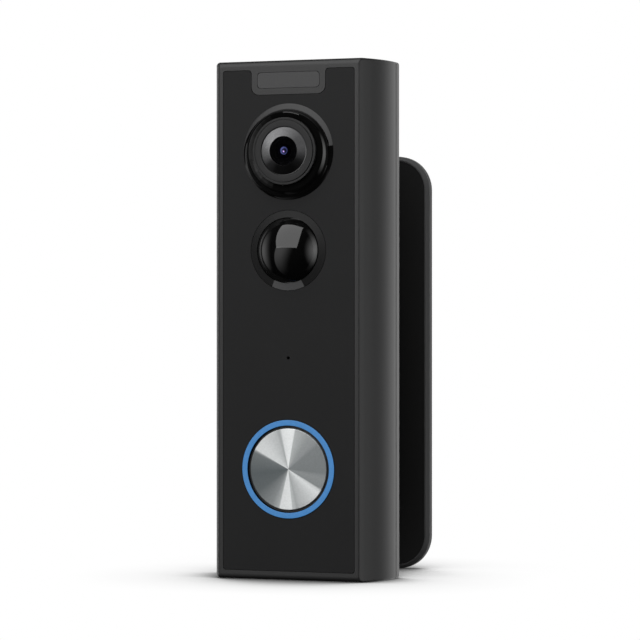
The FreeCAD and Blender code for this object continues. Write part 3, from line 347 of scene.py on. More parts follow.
def metal(name, tone, roughness, size, stretch=(1.0, 1.0, 1.0)):
    """Metal with fine marks, drawn out along an axis where stretch is small."""
    finish = Finish(name)
    mapping = finish.add("ShaderNodeMapping", scale=stretch)
    finish.link(finish.place(), mapping.inputs["Vector"])
    marks = finish.noise(size, detail=4.0, roughness=0.65, place=mapping.outputs["Vector"])
    finish.paint(finish.ramp(marks, [(0.3, tinted(tone, -0.18)), (0.7, tinted(tone, 0.12))]))
    finish.roughen(marks, roughness - 0.06, roughness + 0.08)
    finish.bump(marks, 0.000004)
    finish.set(metallic=1.0)
    return finish.material


def about_axis(finish, height):
    """Where a point lies from a round piece's axis: across, up, and the radius, in metres."""
    split = finish.add("ShaderNodeSeparateXYZ")
    finish.link(finish.place(), split.inputs["Vector"])
    across = split.outputs["X"]
    up = finish.math("SUBTRACT", split.outputs["Z"], height)
    square = finish.total(finish.product(across, across), finish.product(up, up))
    return across, up, finish.math("SQRT", square)


def clock_angle(finish, across, up):
    """Clock angle round an axis, clockwise from twelve, as 0 to 1."""
    angle = finish.math("ARCTAN2", across, up)
    return finish.math("FRACT", finish.math("DIVIDE", angle, 2 * math.pi))


def reflection_sector_tone(level):
    """A tone between the disc's darkest and brightest painted reflection sector."""
    dark, bright = metals().disc_reflection_dark, metals().disc_reflection_bright
    return tuple(d + (b - d) * level for d, b in zip(dark, bright))


def spun_disc_finish(height):
    """Spun metal: light and dark painted reflection sectors that run out from the middle, crossed by
    turned lines.
    """
    finish = Finish("spun_disc")
    across, up, radius = about_axis(finish, height)
    angle = clock_angle(finish, across, up)
    # (clock degrees, level between the darkest and the brightest tone) of the painted reflection sectors
    sectors = [
        (0, 1.00), (9.5, 1.00), (11, 0.50), (34, 0.29), (46, 0.26), (53, 0.17), (95, 0.15),
        (98, 0.21), (104, 0.25), (118.5, 0.22), (120.5, 0.72), (127, 0.92), (140, 0.70),
        (162, 0.48), (166, 0.40), (169, 0.52), (173, 0.60), (174.5, 0.96), (193, 0.88),
        (195, 0.44), (207, 0.21), (236, 0.04), (262, 0.02), (294, 0.10), (297, 0.28), (299, 0.80),
        (314, 0.78), (341, 0.54), (344, 0.42), (347, 0.46), (349.5, 0.88), (360, 1.00),
    ]
    stops = [(degrees / 360, reflection_sector_tone(level)) for degrees, level in sectors]
    # painted reflection: the spun metal's light and dark sectors, set by clock angle
    shade = finish.ramp(angle, stops)
    streaks = finish.noise(0.0005, detail=4.0, roughness=0.7)
    marks = finish.greys(streaks, [(0.3, 0.93), (0.7, 1.07)])
    finish.paint(finish.mixed("MULTIPLY", 1.0, shade, marks))
    turns = finish.math("SINE", finish.product(radius, 2 * math.pi / metals().turning))
    worn = finish.noise(0.0006, detail=3.0)
    finish.bump(finish.total(turns, finish.product(worn, 1.5)), 0.0000012)
    finish.roughen(worn, 0.30, 0.42)
    finish.set(metallic=0.35)
    return finish.material


def turned_ring_finish(height):
    """The metal ring round the lens: turned lines, a painted highlight and painted shade that change
    slowly round it, and a painted highlight on its lip.
    """
    finish = Finish("turned_ring")
    across, up, radius = about_axis(finish, height)
    marks = finish.noise(0.0004, detail=3.0)
    angle = clock_angle(finish, across, up)
    # painted highlight and shade: the ring's tone is lightest at the upper left and darkest at the bottom
    shade = finish.sectors(angle, [
        (0, 0.36), (25, 0.23), (50, 0.14), (65, 0.14), (90, 0.21), (103, 0.18), (122, 0.06),
        (150, 0.02), (205, 0.02), (232, 0.10), (262, 0.72), (285, 1.0), (302, 0.97), (330, 0.54),
        (360, 0.36),
    ], metals().trim)
    # painted highlight along the outer lip, strongest at the lower right
    lip = finish.sectors(angle, [(75, 0), (110, 0.30), (150, 0.34), (200, 0.05), (230, 0)])
    # the painted highlight and shade, with fine marks
    worn = finish.mixed("MULTIPLY", 1.0, shade, finish.greys(marks, [(0.3, 0.84), (0.7, 1.16)]))
    # where the painted lip highlight starts and where it is full, and the pitch of the turned lines
    lip_highlight_starts, lip_highlight_full, line_pitch = 0.00762, 0.00772, 0.00012
    painted_light_band = finish.rise(radius, lip_highlight_starts, lip_highlight_full)
    finish.paint(finish.mixed("ADD", painted_light_band, worn, lip))
    finish.bump(finish.math("SINE", finish.product(radius, 2 * math.pi / line_pitch)), 0.0000010)
    finish.roughen(marks, 0.30, 0.40)
    finish.set(metallic=1.0)
    return finish.material


def glow_finish():
    """Milky plastic, lit from behind, with painted shade on its walls."""
    finish = Finish("blue_glow")
    tone = metals().glow
    milk_and_painted_sheen = finish.noise(0.0012, detail=2.0)
    stops = [(0.3, tinted(tone, -0.06)), (0.7, tinted(tone, 0.06))]
    split = finish.add("ShaderNodeSeparateXYZ")
    finish.link(finish.add("ShaderNodeTexCoord").outputs["Normal"], split.inputs["Vector"])
    # painted shade: faces that turn away from the front are darkened, in colour and in glow
    front = finish.rise(finish.product(split.outputs["Y"], -1.0), 0.15, 0.6)
    wall_shade = finish.greys(front, [(0.0, 0.01), (1.0, 1.0)])
    shade = finish.mixed("MULTIPLY", 1.0, finish.ramp(milk_and_painted_sheen, stops), wall_shade)
    half = finish.greys(front, [(0.0, 0.0), (1.0, 0.55)])
    finish.paint(finish.mixed("MULTIPLY", 1.0, shade, half))
    finish.link(shade, finish.shader.inputs["Emission Color"])
    finish.set(emission_strength=0.5, roughness=0.38)
    finish.bump(milk_and_painted_sheen, 0.000004)
    return finish.material


def dome_finish(height, tone):
    """Polished black dome, with a painted reflection in its edge at the left and right sides."""
    finish = Finish("dome_gloss")
    across, up, radius = about_axis(finish, height)
    peel = finish.noise(PEEL, detail=1.0)
    # painted reflection: the edge is lighter at the left and right sides, where the side glows mirror in
    # it
    sides = finish.sectors(clock_angle(finish, across, up), [
        (45, 0), (75, 0.3), (90, 0.4), (105, 0.28), (135, 0),
        (225, 0), (255, 0.55), (270, 0.62), (290, 0.54), (320, 0),
    ])
    # the painted reflection band lies a little further out at the object's right
    band = finish.math("SUBTRACT", radius, finish.product(across, 0.042))
    painted_light_band = finish.product(finish.rise(band, 0.0087, 0.0093), finish.rise(band, 0.0101, 0.0096))
    # the painted reflection, in a band near the rim
    milk_and_painted_sheen = finish.mixed("MULTIPLY", 1.0, sides, finish.greys(painted_light_band, [(0.0, 0.0), (1.0, 0.13)]))
    base = finish.ramp(peel, [(0.3, tone), (0.7, tinted(tone, 0.3))])
    finish.paint(finish.mixed("ADD", 1.0, base, milk_and_painted_sheen))
    finish.roughen(peel, 0.035, 0.055)
    finish.bump(peel, PEEL_HEIGHT)
    return finish.material


def coating_finish(height):
    """The coated element behind the front lens: a painted glint, with a blue-violet ring and a swirl on
    black glass, which also glows.
    """
    finish = Finish("coated_element")
    across, up, radius = about_axis(finish, height)
    angle = finish.math("ARCTAN2", across, up)
    swirl = finish.math("SINE", finish.total(angle, finish.product(radius, 2600.0), 0.9))
    cloud = finish.noise(0.0009, detail=2.0)
    bent = finish.total(radius, finish.product(swirl, 0.00016), finish.product(cloud, 0.0002))
    glint_reach = 0.0016
    # painted glint: a pink-white highlight in the middle, then dark, then the violet reflection of the
    # coating
    glint = finish.ramp(finish.math("DIVIDE", bent, glint_reach), [
        (0.10, (0.95, 0.70, 0.98)),
        (0.21, (0.30, 0.20, 0.52)),
        (0.32, (0.010, 0.010, 0.020)),
        (0.54, (0.014, 0.014, 0.034)),
        (0.70, metals().coating),
        (0.80, (0.055, 0.070, 0.170)),
        (0.88, (0.0006, 0.0006, 0.001)),
    ])
    # painted light, brighter at some clock angles round the glint than at others
    lit = finish.greys(clock_angle(finish, across, up), [
        (0.0, 0.8), (0.14, 0.55), (0.28, 0.42), (0.45, 0.8), (0.72, 1.3), (0.88, 1.0),
    ])
    shade = finish.mixed("MULTIPLY", 1.0, glint, lit)
    finish.paint(shade)
    # the painted glint also glows, though the element is no lamp
    finish.link(shade, finish.shader.inputs["Emission Color"])
    finish.roughen(cloud, 0.06, 0.12)
    finish.set(emission_strength=0.8, specular_ior_level=0.0)
    return finish.material


def front_lens_finish():
    """Clear coated glass, with a trace of tint in its coating."""
    finish = Finish("front_lens")
    coat = finish.noise(0.003, detail=1.0)
    finish.paint(finish.ramp(coat, [(0.3, (0.90, 0.92, 1.0)), (0.7, (0.97, 0.95, 1.0))]))
    finish.roughen(coat, 0.0, 0.01)
    finish.set(transmission_weight=1.0, ior=1.0)
    return finish.material


def board_finish(name):
    """Green solder mask over copper tracks."""
    finish = Finish(name)
    tracks = finish.add(
        "ShaderNodeTexBrick",
        scale=520.0,
        color1=(0.012, 0.075, 0.030, 1.0),
        color2=(0.010, 0.060, 0.026, 1.0),
        mortar=(0.020, 0.120, 0.050, 1.0),
        mortar_size=0.06,
    )
    upright = finish.add("ShaderNodeMapping", rotation=(math.pi / 2, 0.0, 0.0))
    finish.link(finish.place(), upright.inputs["Vector"])
    finish.link(upright.outputs["Vector"], tracks.inputs["Vector"])
    finish.paint(tracks.outputs["Color"])
    finish.bump(tracks.outputs["Fac"], 0.00002)
    finish.set(roughness=0.35)
    return finish.material


# Meshes


def rounded_line(corners, steps):
    """Points along a line through (across, along, rounding) corners, with its corners rounded."""
    points = []
    last = len(corners) - 1
    for index, (across, along, rounding) in enumerate(corners):
        here = Vector((across, along))
        if rounding <= 0 or index in (0, last):
            points.append(here)
            continue
        before = (Vector(corners[index - 1][:2]) - here).normalized()
        after = (Vector(corners[index + 1][:2]) - here).normalized()
        half = before.angle(after) / 2
        reach = rounding / math.tan(half)
        centre = here + (before + after).normalized() * (rounding / math.sin(half))
        start = here + before * reach - centre
        end = here + after * reach - centre
        sweep = start.angle_signed(end)
        for step in range(steps + 1):
            points.append(centre + Matrix.Rotation(-sweep * step / steps, 2) @ start)
    return points


def turned_mesh(name, corners, height, closed=False):
    """A turned piece. Corners are (radius, depth behind the front face, rounding), in mm."""
    rings = [ring(*point) for point in rounded_line(corners, round_pieces().arc_steps)]
    return ringed_mesh(name, rings, height, closed)


def ring(radius, depth, low=0.0, limit=None, slope=0.0):
    """Points of a ring, as (across, up, depth) in mm.

    Its middle sits low by an amount, a little to the object's left. It is held inside a limiting
    radius, and its depth falls off by a slope towards that limit.
    """
    segments = round_pieces().segments
    points = []
    for index in range(segments if radius > 0 else 1):
        angle = 2 * math.pi * index / segments
        turn = angle - LEAN
        reach = math.sqrt(max(0.0, radius ** 2 - (low * math.sin(turn)) ** 2)) - low * math.cos(turn)
        if limit:
            reach = min(reach, limit)
        here = depth - slope * ((limit or reach) - reach)
        points.append((reach * math.sin(angle), reach * math.cos(angle), here))
    return points


def placed(name, data):
    """A new object in the scene."""
    item = bpy.data.objects.new(name, data)
    bpy.context.scene.collection.objects.link(item)
    return item


def finished_piece(name, work, sharp_degrees):
    """A smooth piece from a mesh under construction, with its sharper edges kept."""
    bmesh.ops.recalc_face_normals(work, faces=work.faces)
    mesh = bpy.data.meshes.new(name)
    work.to_mesh(mesh)
    work.free()
    mesh.shade_smooth()
    mesh.set_sharp_from_angle(angle=math.radians(sharp_degrees))
    return placed(name, mesh)


def ringed_mesh(name, rings, height, closed=False, second=()):
    """Rings joined in order; the bands numbered in second take the second material."""
    work = bmesh.new()
    loops = []
    for points in rings:
        loops.append([
            work.verts.new((across * MM, FACE_Y + depth * MM, height + up * MM))
            for across, up, depth in points
        ])
    pairs = list(zip(loops, loops[1:]))
    if closed:
        pairs.append((loops[-1], loops[0]))
    for band, (first, last) in enumerate(pairs):
        count = max(len(first), len(last))
        for index in range(count):
            following = (index + 1) % count
            corners = [
                first[index % len(first)],
                first[following % len(first)],
                last[following % len(last)],
                last[index % len(last)],
            ]
            face = work.faces.new(list(dict.fromkeys(corners)))
            face.material_index = 1 if band in second else 0
    bmesh.ops.remove_doubles(work, verts=work.verts, dist=SAME_PLACE)
    return finished_piece(name, work, 35)


def coil_mesh(name, front, back, height):
    """A spring wound from one wire, with a closed turn at each end."""
    setup = round_pieces()
    wire, radius, turns = setup.spring_wire / 2, setup.spring_radius, setup.spring_turns
    per_turn, sides = 48, 10
    open_length = back - front - 6 * wire  # what the two closed turns leave
    work = bmesh.new()
    rings = []
    for step in range(round((turns + 2) * per_turn) + 1):
        turn = step / per_turn
        ends = min(turn, 1.0) + max(0.0, turn - turns - 1)
        middle = min(max((turn - 1) / turns, 0.0), 1.0)
        along = front + wire + 2 * wire * ends + open_length * middle
        angle = 2 * math.pi * turn
        loop = []
        for side in range(sides):
            around = 2 * math.pi * side / sides
            reach = radius + wire * math.cos(around)
            across, up = reach * math.sin(angle), reach * math.cos(angle)
            loop.append(work.verts.new((across, along + wire * math.sin(around), height + up)))
        rings.append(loop)
    for first, last in zip(rings, rings[1:]):
        for side in range(sides):
            following = (side + 1) % sides
            work.faces.new((first[side], first[following], last[following], last[side]))
    work.faces.new(rings[0])
    work.faces.new(rings[-1])
    return finished_piece(name, work, 60)


def fit(piece, material, body, *nodes, slot, second=None):
    """Gives a piece its material, sets it on its body and lets it stand for CAD nodes."""
    piece.data.materials.append(material)
    if second:
        piece.data.materials.append(second)
    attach(piece, body)
    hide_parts(*nodes)


def smooth_group():
    """Geometry nodes that shade a CAD node smooth, with its real edges kept sharp."""
    name = "smooth_by_angle"
    if name in bpy.data.node_groups:
        return bpy.data.node_groups[name]
    group = bpy.data.node_groups.new(name, "GeometryNodeTree")
    for way in ("INPUT", "OUTPUT"):
        group.interface.new_socket("Geometry", in_out=way, socket_type="NodeSocketGeometry")
    sheet = NodeSheet(group)
    start = sheet.add("NodeGroupInput")
    end = sheet.add("NodeGroupOutput")
    faces = sheet.add("GeometryNodeSetShadeSmooth", domain="FACE")
    edges = sheet.add("GeometryNodeSetShadeSmooth", domain="EDGE", shade_smooth=False)
    angle = sheet.add("GeometryNodeInputMeshEdgeAngle")
    sharp = sheet.add("FunctionNodeCompare", operation="GREATER_THAN", b=math.radians(28))
    sheet.link(start.outputs[0], faces.inputs["Geometry"])
    sheet.link(faces.outputs[0], edges.inputs["Geometry"])
    sheet.link(angle.outputs["Unsigned Angle"], sharp.inputs["A"])
    sheet.link(sharp.outputs[0], edges.inputs["Selection"])
    sheet.link(edges.outputs[0], end.inputs[0])
    return group


def dress(material, *nodes):
    """Gives CAD nodes a material and smooth shading."""
    for name in nodes:
        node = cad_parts[name]
        node.data.materials.clear()
        node.data.materials.append(material)
        smooth = node.modifiers.new("smooth", "NODES")
        smooth.node_group = smooth_group()
        weigh = node.modifiers.new("weighted", "WEIGHTED_NORMAL")
        weigh.keep_sharp = True
        weigh.weight = 100


# Operators, one for each piece or group of like pieces


class DOORPHONE_OT_housing(bpy.types.Operator):
    """Finishes the shell, the rear cover, the front panel and the plate in the tab"""

    bl_idname = "doorphone.housing"
    bl_label = "Housing"
    bl_options = {"REGISTER", "UNDO"}

    def execute(self, context):
        settings = plastics()
        grain, rise = settings.grain, settings.grain_height
        housing = moulded("housing_charcoal", settings.housing, 0.46, grain, rise)
        panel = moulded("panel_charcoal", settings.panel, 0.50, grain * 0.8, rise * 0.8, specular=0.12)
        tab_tone = tinted(settings.housing, 2.2)  # the plate in the tab is the lightest of the front
        name_plate = moulded("tab_plate_charcoal", tab_tone, 0.48, grain * 0.7, rise * 0.6)
        dress(housing, "main_shell", "rear_cover")
        dress(panel, "front_panel")
        dress(name_plate, "name_plate")
        return {"FINISHED"}


class DOORPHONE_OT_camera(bpy.types.Operator):
    """Builds the bezel, the night window, the trim ring and the lens"""

    bl_idname = "doorphone.camera"
    bl_label = "Camera"
    bl_options = {"REGISTER", "UNDO"}

    # the bezel's flank and crest: (radius, depth, how low the ring sits), in mm
    FLANK = (
        (14.36, -0.62, 0.44), (14.18, -1.06, 0.40), (13.98, -1.47, 0.36), (13.74, -1.87, 0.31),
        (13.47, -2.25, 0.26), (13.14, -2.62, 0.20), (12.98, -2.78, 0.18), (12.91, -2.84, 0.17),
        (12.83, -2.88, 0.16), (12.75, -2.90, 0.15), (12.58, -2.90, 0.14),
        (11.28, -2.90, 0), (11.2, -2.88, 0), (11.16, -2.82, 0), (11.15, -2.6, 0), (11.15, 2.4, 0),
    )
    BROW_BANDS = range(3, 9)  # the bands between rings that carry the brow's painted highlight
    BROW_SLOPE = 0.23
    BROW_END, BROW_START = 84, 210  # clock degrees between which the brow's painted highlight gives way to calm gloss
    FOOT_END = 110  # clock degrees up to which the flank's foot is calm too
    FOOT, CREST = 0.8 * MM, 2.6 * MM  # how far before the face the foot ends and the crest starts
    CREST_START, CREST_END = 22, 357  # clock degrees between which the whole crest is calm
    FLAT, STEEP = -0.97, -0.5  # how far faces turn to the front: flat on top, or too steep
    # specular level of each calm gloss, and which one starts at which clock degree on the flat top
    CROWN_GLOSS = (0.0, 0.03, 0.06, 0.11, 0.16, 0.23)
    CROWN_ZONES = (
        (0, 0), (201, 1), (211, 2), (223, 3), (237, 4), (258, 5), (294, 4), (306, 3), (316, 2),
        (326, 1), (336, 0),
    )

    def execute(self, context):
        height = axis_height("camera_bezel")
        settings = plastics()
        self.build_bezel(height, settings)
        self.build_night_window(height, settings)
        self.build_trim(height)
        self.build_lens(height)
        return {"FINISHED"}

    def build_bezel(self, height, settings):
        """The glossy ring, with a satin brow over it, whose lighter tone on the upper side is a painted
        highlight.
        """
        slope = self.BROW_SLOPE
        rings = [
            ring(14.6, 2.4),
            ring(14.6, 0.02),
            ring(15.72, 0.02),
            ring(15.72, -0.03),
            ring(15.66, -0.08, 0.0, 15.66, slope),
        ]
        for share in (0.2, 0.4, 0.6, 0.8, 1.0):
            rings.append(ring(15.66 - 0.26 * share, -0.08, 1.9 * share, 15.64, slope))
        rings.append(ring(15.0, -0.12, 1.25, 15.6, slope))
        rings.append(ring(14.5, -0.20, 0.74, 15.5, slope))
        rings += [ring(radius, depth, low) for radius, depth, low in self.FLANK]
        bezel = ringed_mesh("bezel_ring", rings, height, closed=True, second=self.BROW_BANDS)
        self.part_crown(bezel, height)
        grain = settings.grain * 0.6
        # painted highlight: a lighter satin on the bezel's upper side only, where the softbox's
        # reflection falls; the lamps light it as well
        brow_highlight = moulded("brow_highlight_satin", settings.brow_highlight, 0.40, grain, height=0.000002, specular=0.4)
        gloss = polished("bezel_gloss", settings.gloss)
        fit(bezel, gloss, "station", "camera_bezel", slot="gloss_black", second=brow_highlight)
        for share in self.CROWN_GLOSS:
            name = "bezel_crown_%03d" % round(share * 1000)
            bezel.data.materials.append(polished(name, settings.gloss, 0.08, share))

    def part_crown(self, bezel, height):
        """Gives the crown its calmer gloss, which grows towards the object's left."""
        calm = 2
        for face in bezel.data.polygons:
            clock = math.degrees(math.atan2(face.center.x, face.center.z - height)) % 360
            before, facing = FACE_Y - face.center.y, face.normal.y
            brow_highlight = face.material_index == 1
            foot = before < self.FOOT and clock < self.FOOT_END
            if self.BROW_END < clock < self.BROW_START and (brow_highlight or foot):
                face.material_index = calm
            if before < self.CREST or facing > self.STEEP:
                continue
            if facing < self.FLAT:
                zones = [zone for start, zone in self.CROWN_ZONES if clock >= start]
                face.material_index = calm + zones[-1]
            elif self.CREST_START < clock < self.CREST_END:
                face.material_index = calm

    def build_night_window(self, height, settings):
        """The flat ring round the lens, with a fine groove."""
        shroud = turned_mesh(
            "night_window",
            [
                (9.8, 3.2, 0), (12.4, 3.2, 0), (12.4, 2.42, 0), (11.0, 2.42, 0),
                (11.0, -3.95, 0.15), (10.25, -3.95, 0.05), (10.25, -3.75, 0), (10.05, -3.75, 0),
                (10.05, -4.2, 0.06), (7.93, -4.2, 0.14), (7.93, -3.0, 0), (9.8, -3.0, 0.2),
            ],
            height,
            closed=True,
        )
        satin = moulded(
            "night_window_satin", settings.night_window, 0.42, grain=0.00012, height=0.0000022,
            specular=0.28,
        )
        fit(shroud, satin, "station", "lens_shroud", slot="night_window")

    def build_trim(self, height):
        """The turned metal cone between the night window and the lens."""
        trim = turned_mesh(
            "lens_trim",
            [
                (4.76, -2.5, 0), (8.4, -2.5, 0), (8.4, -2.98, 0), (7.85, -2.98, 0),
                (7.85, -3.88, 0.08), (4.85, -4.55, 0.06), (4.76, -4.5, 0),
            ],
            height,
            closed=True,
        )
        fit(trim, turned_ring_finish(height), "station", "lens_trim_ring", slot="satin_metal")

    def build_lens(self, height):
        """The front lens, the black funnel behind it and the coated element inside that."""
        glass = turned_mesh(
            "front_lens",
            [
                (0.0, -4.60, 0), (1.6, -4.594, 0), (3.2, -4.577, 0), (4.62, -4.552, 0),
                (4.69, -4.52, 0), (4.69, -4.27, 0), (0.0, -4.27, 0),
            ],
            height,
        )
        fit(glass, front_lens_finish(), "station", "lens_glass", slot="front_glass")
        glass.visible_shadow = False  # so that the softbox reaches the funnel behind it
        barrel = turned_mesh(
            "lens_barrel_funnel",
            [
                (0.0, -2.45, 0), (2.34, -2.45, 0), (2.34, -3.64, 0), (3.6, -3.8, 0.4),
                (4.2, -4.25, 0), (4.69, -4.25, 0), (4.69, -2.41, 0), (6.0, -2.41, 0),
                (6.0, 6.5, 0.3), (0.0, 6.5, 0),
            ],
            height,
        )
        black = moulded(
            "barrel_black", (0.003, 0.003, 0.0032), 0.85, grain=0.0002, height=0.000002, specular=0.0
        )
        fit(barrel, black, "station", "lens_barrel", slot="black_plastic")
        element = turned_mesh(
            "coated_element",
            [
                (0.0, -4.15, 0), (0.6, -4.115, 0), (1.2, -4.01, 0), (1.8, -3.84, 0),
                (2.29, -3.655, 0), (2.29, -2.47, 0), (0.0, -2.47, 0),
            ],
            height,
        )
        fit(element, coating_finish(height), "station", "lens_element", slot="front_glass")


class DOORPHONE_OT_motion_sensor(bpy.types.Operator):
    """Builds the dome of the motion sensor and finishes the ring round it"""

    bl_idname = "doorphone.motion_sensor"
    bl_label = "Motion sensor"
    bl_options = {"REGISTER", "UNDO"}

    def execute(self, context):
        height = axis_height("pir_dome")
        settings = plastics()
        dome = self.build_dome(height)
        fit(dome, dome_finish(height, settings.gloss), "station", "pir_dome", slot="gloss_black")
        grain, rise = 0.00012, 0.0000025
        surround = moulded("sensor_ring_satin", settings.sensor_ring, 0.48, grain, rise, specular=0.22)
        window = moulded("sensor_window_satin", settings.sensor_window, 0.40, grain, rise)
        dress(surround, "pir_ring")
        dress(window, "sensor_window")
        return {"FINISHED"}

    def build_dome(self, height):
        """A cap of a ball that steepens more slowly near its rim. Lengths are in mm."""
        base, rim, wall = 10.6, 10.42, 1.0  # radius of the whole ball's foot and of the cap, thickness
        rise = (FACE_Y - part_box("pir_dome")[0].y) / MM
        ball = (base ** 2 + rise ** 2) / (2 * rise)
        easing, share, steps = 8.8, 0.36, 60  # radius where the steepening slows, and to what share
        outside, inside = [], []
        depth = -rise
        for step in range(steps + 1):
            here = rim * step / steps
            tilt = math.asin(min(here, easing + (here - easing) * share) / ball)
            outside.append((here, depth, 0))
            inside.append((here - wall * math.sin(tilt), depth + wall * math.cos(tilt), 0))
            depth += math.tan(tilt) * rim / steps
        seat, back, lip = 2.42, 3.2, 0.8  # front and back of the flange, and how far it stands out
        flange = [(rim, seat, 0), (base + lip, seat, 0), (base + lip, back, 0), (base - wall, back, 0)]
        return turned_mesh("motion_dome", outside + flange + inside[::-1], height)


class DOORPHONE_OT_bell_button(bpy.types.Operator):
    """Builds the spun disc of the bell button, the blue ring round it and the return spring"""

    bl_idname = "doorphone.bell_button"
    bl_label = "Bell button"
    bl_options = {"REGISTER", "UNDO"}

    def execute(self, context):
        height = axis_height("button_cap")
        disc = turned_mesh(
            "bell_disc",
            [
                (0.0, 0.0, 0), (6.0, 0.0, 0), (12.9, 0.0, 0), (13.3, 0.0, 0.22), (13.3, 1.2, 0),
                (0.0, 1.2, 0),
            ],
            height,
        )
        fit(disc, spun_disc_finish(height), "bell", "button_cap", slot="brushed_disc")
        glow = turned_mesh(
            "glow_ring",
            [(14.25, 5.0, 0), (14.25, -0.3, 0.12), (16.05, -0.3, 0.12), (16.05, 5.0, 0)],
            height,
            closed=True,
        )
        fit(glow, glow_finish(), "station", "light_ring", slot="blue_light")
        self.build_spring(height)
        return {"FINISHED"}

    def build_spring(self, height):
        """The return spring."""
        low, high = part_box("button_spring")
        spring = coil_mesh("return_spring", low.y, high.y, height)
        steel = metal("spring_steel", (0.46, 0.47, 0.48), 0.30, size=0.0006)
        fit(spring, steel, "station", "button_spring", slot="screw_steel")
        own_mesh(spring)


class DOORPHONE_OT_indoor_plate(bpy.types.Operator):
    """Finishes the indoor plate and its pad"""

    bl_idname = "doorphone.indoor_plate"
    bl_label = "Indoor plate"
    bl_options = {"REGISTER", "UNDO"}

    def execute(self, context):
        settings = plastics()
        plate = moulded("plate_charcoal", settings.plate, 0.66, settings.grain, settings.grain_height)
        pad = moulded(
            "pad_rubber", settings.pad, 0.70, grain=0.0004, height=0.000012, variation=0.2, specular=0.35
        )
        dress(plate, "indoor_tray", "indoor_cover")
        dress(pad, "door_pad")
        return {"FINISHED"}


class DOORPHONE_OT_inner_parts(bpy.types.Operator):
    """Finishes the seals, screws, boards and other pieces inside"""

    bl_idname = "doorphone.inner_parts"
    bl_label = "Inner parts"
    bl_options = {"REGISTER", "UNDO"}

    def execute(self, context):
        rubber = moulded("seal_rubber", (0.008, 0.008, 0.008), 0.72, grain=0.0003, height=0.000006)
        dress(rubber, "rear_seal", "port_flap", "mic_boot")
        dress(rubber, "pir_spacer", "speaker_gasket", "battery_pad")
        black = moulded("inner_black", (0.015, 0.015, 0.016), 0.55, grain=0.0003, height=0.000006)
        dress(black, "lens_holder", "image_sensor", "speaker")
        dress(black, "button_guide", "button_carrier", "switch_plunger", "switch_body")
        mask = board_finish("circuit_board")
        dress(mask, "camera_board", "ir_board", "button_board", "main_board", "charge_board")
        film = moulded("ribbon_film", (0.30, 0.12, 0.025), 0.30, grain=0.0008, height=0.000003)
        dress(film, "camera_flex", "button_flex", "charge_flex")
        resin = moulded("lamp_resin", (0.60, 0.56, 0.36), 0.25, grain=0.0005, height=0.000003)
        dress(resin, "ring_lamps", "ir_lamps")
        zinc = metal("zinc_plate", (0.46, 0.47, 0.48), 0.34, size=0.0008)
        dress(zinc, "board_screws", "case_screws", "clamp_screws")
        tin = metal("tinned_sheet", (0.55, 0.54, 0.52), 0.30, size=0.002, stretch=(1.0, 1.0, 0.2))
        dress(tin, "shield_can", "antenna", "charge_socket", "pir_sensor", "microphone")
        dress(tin, "stiffener_plate")
        dress(metal("bush_brass", (0.55, 0.38, 0.14), 0.30, size=0.0006), "clamp_inserts")
        dress(metal("cell_foil", (0.34, 0.35, 0.37), 0.42, size=0.006), "battery")
        sleeve = moulded("lead_red", (0.25, 0.012, 0.012), 0.5, grain=0.0004, height=0.000004)
        dress(sleeve, "battery_lead")
        return {"FINISHED"}


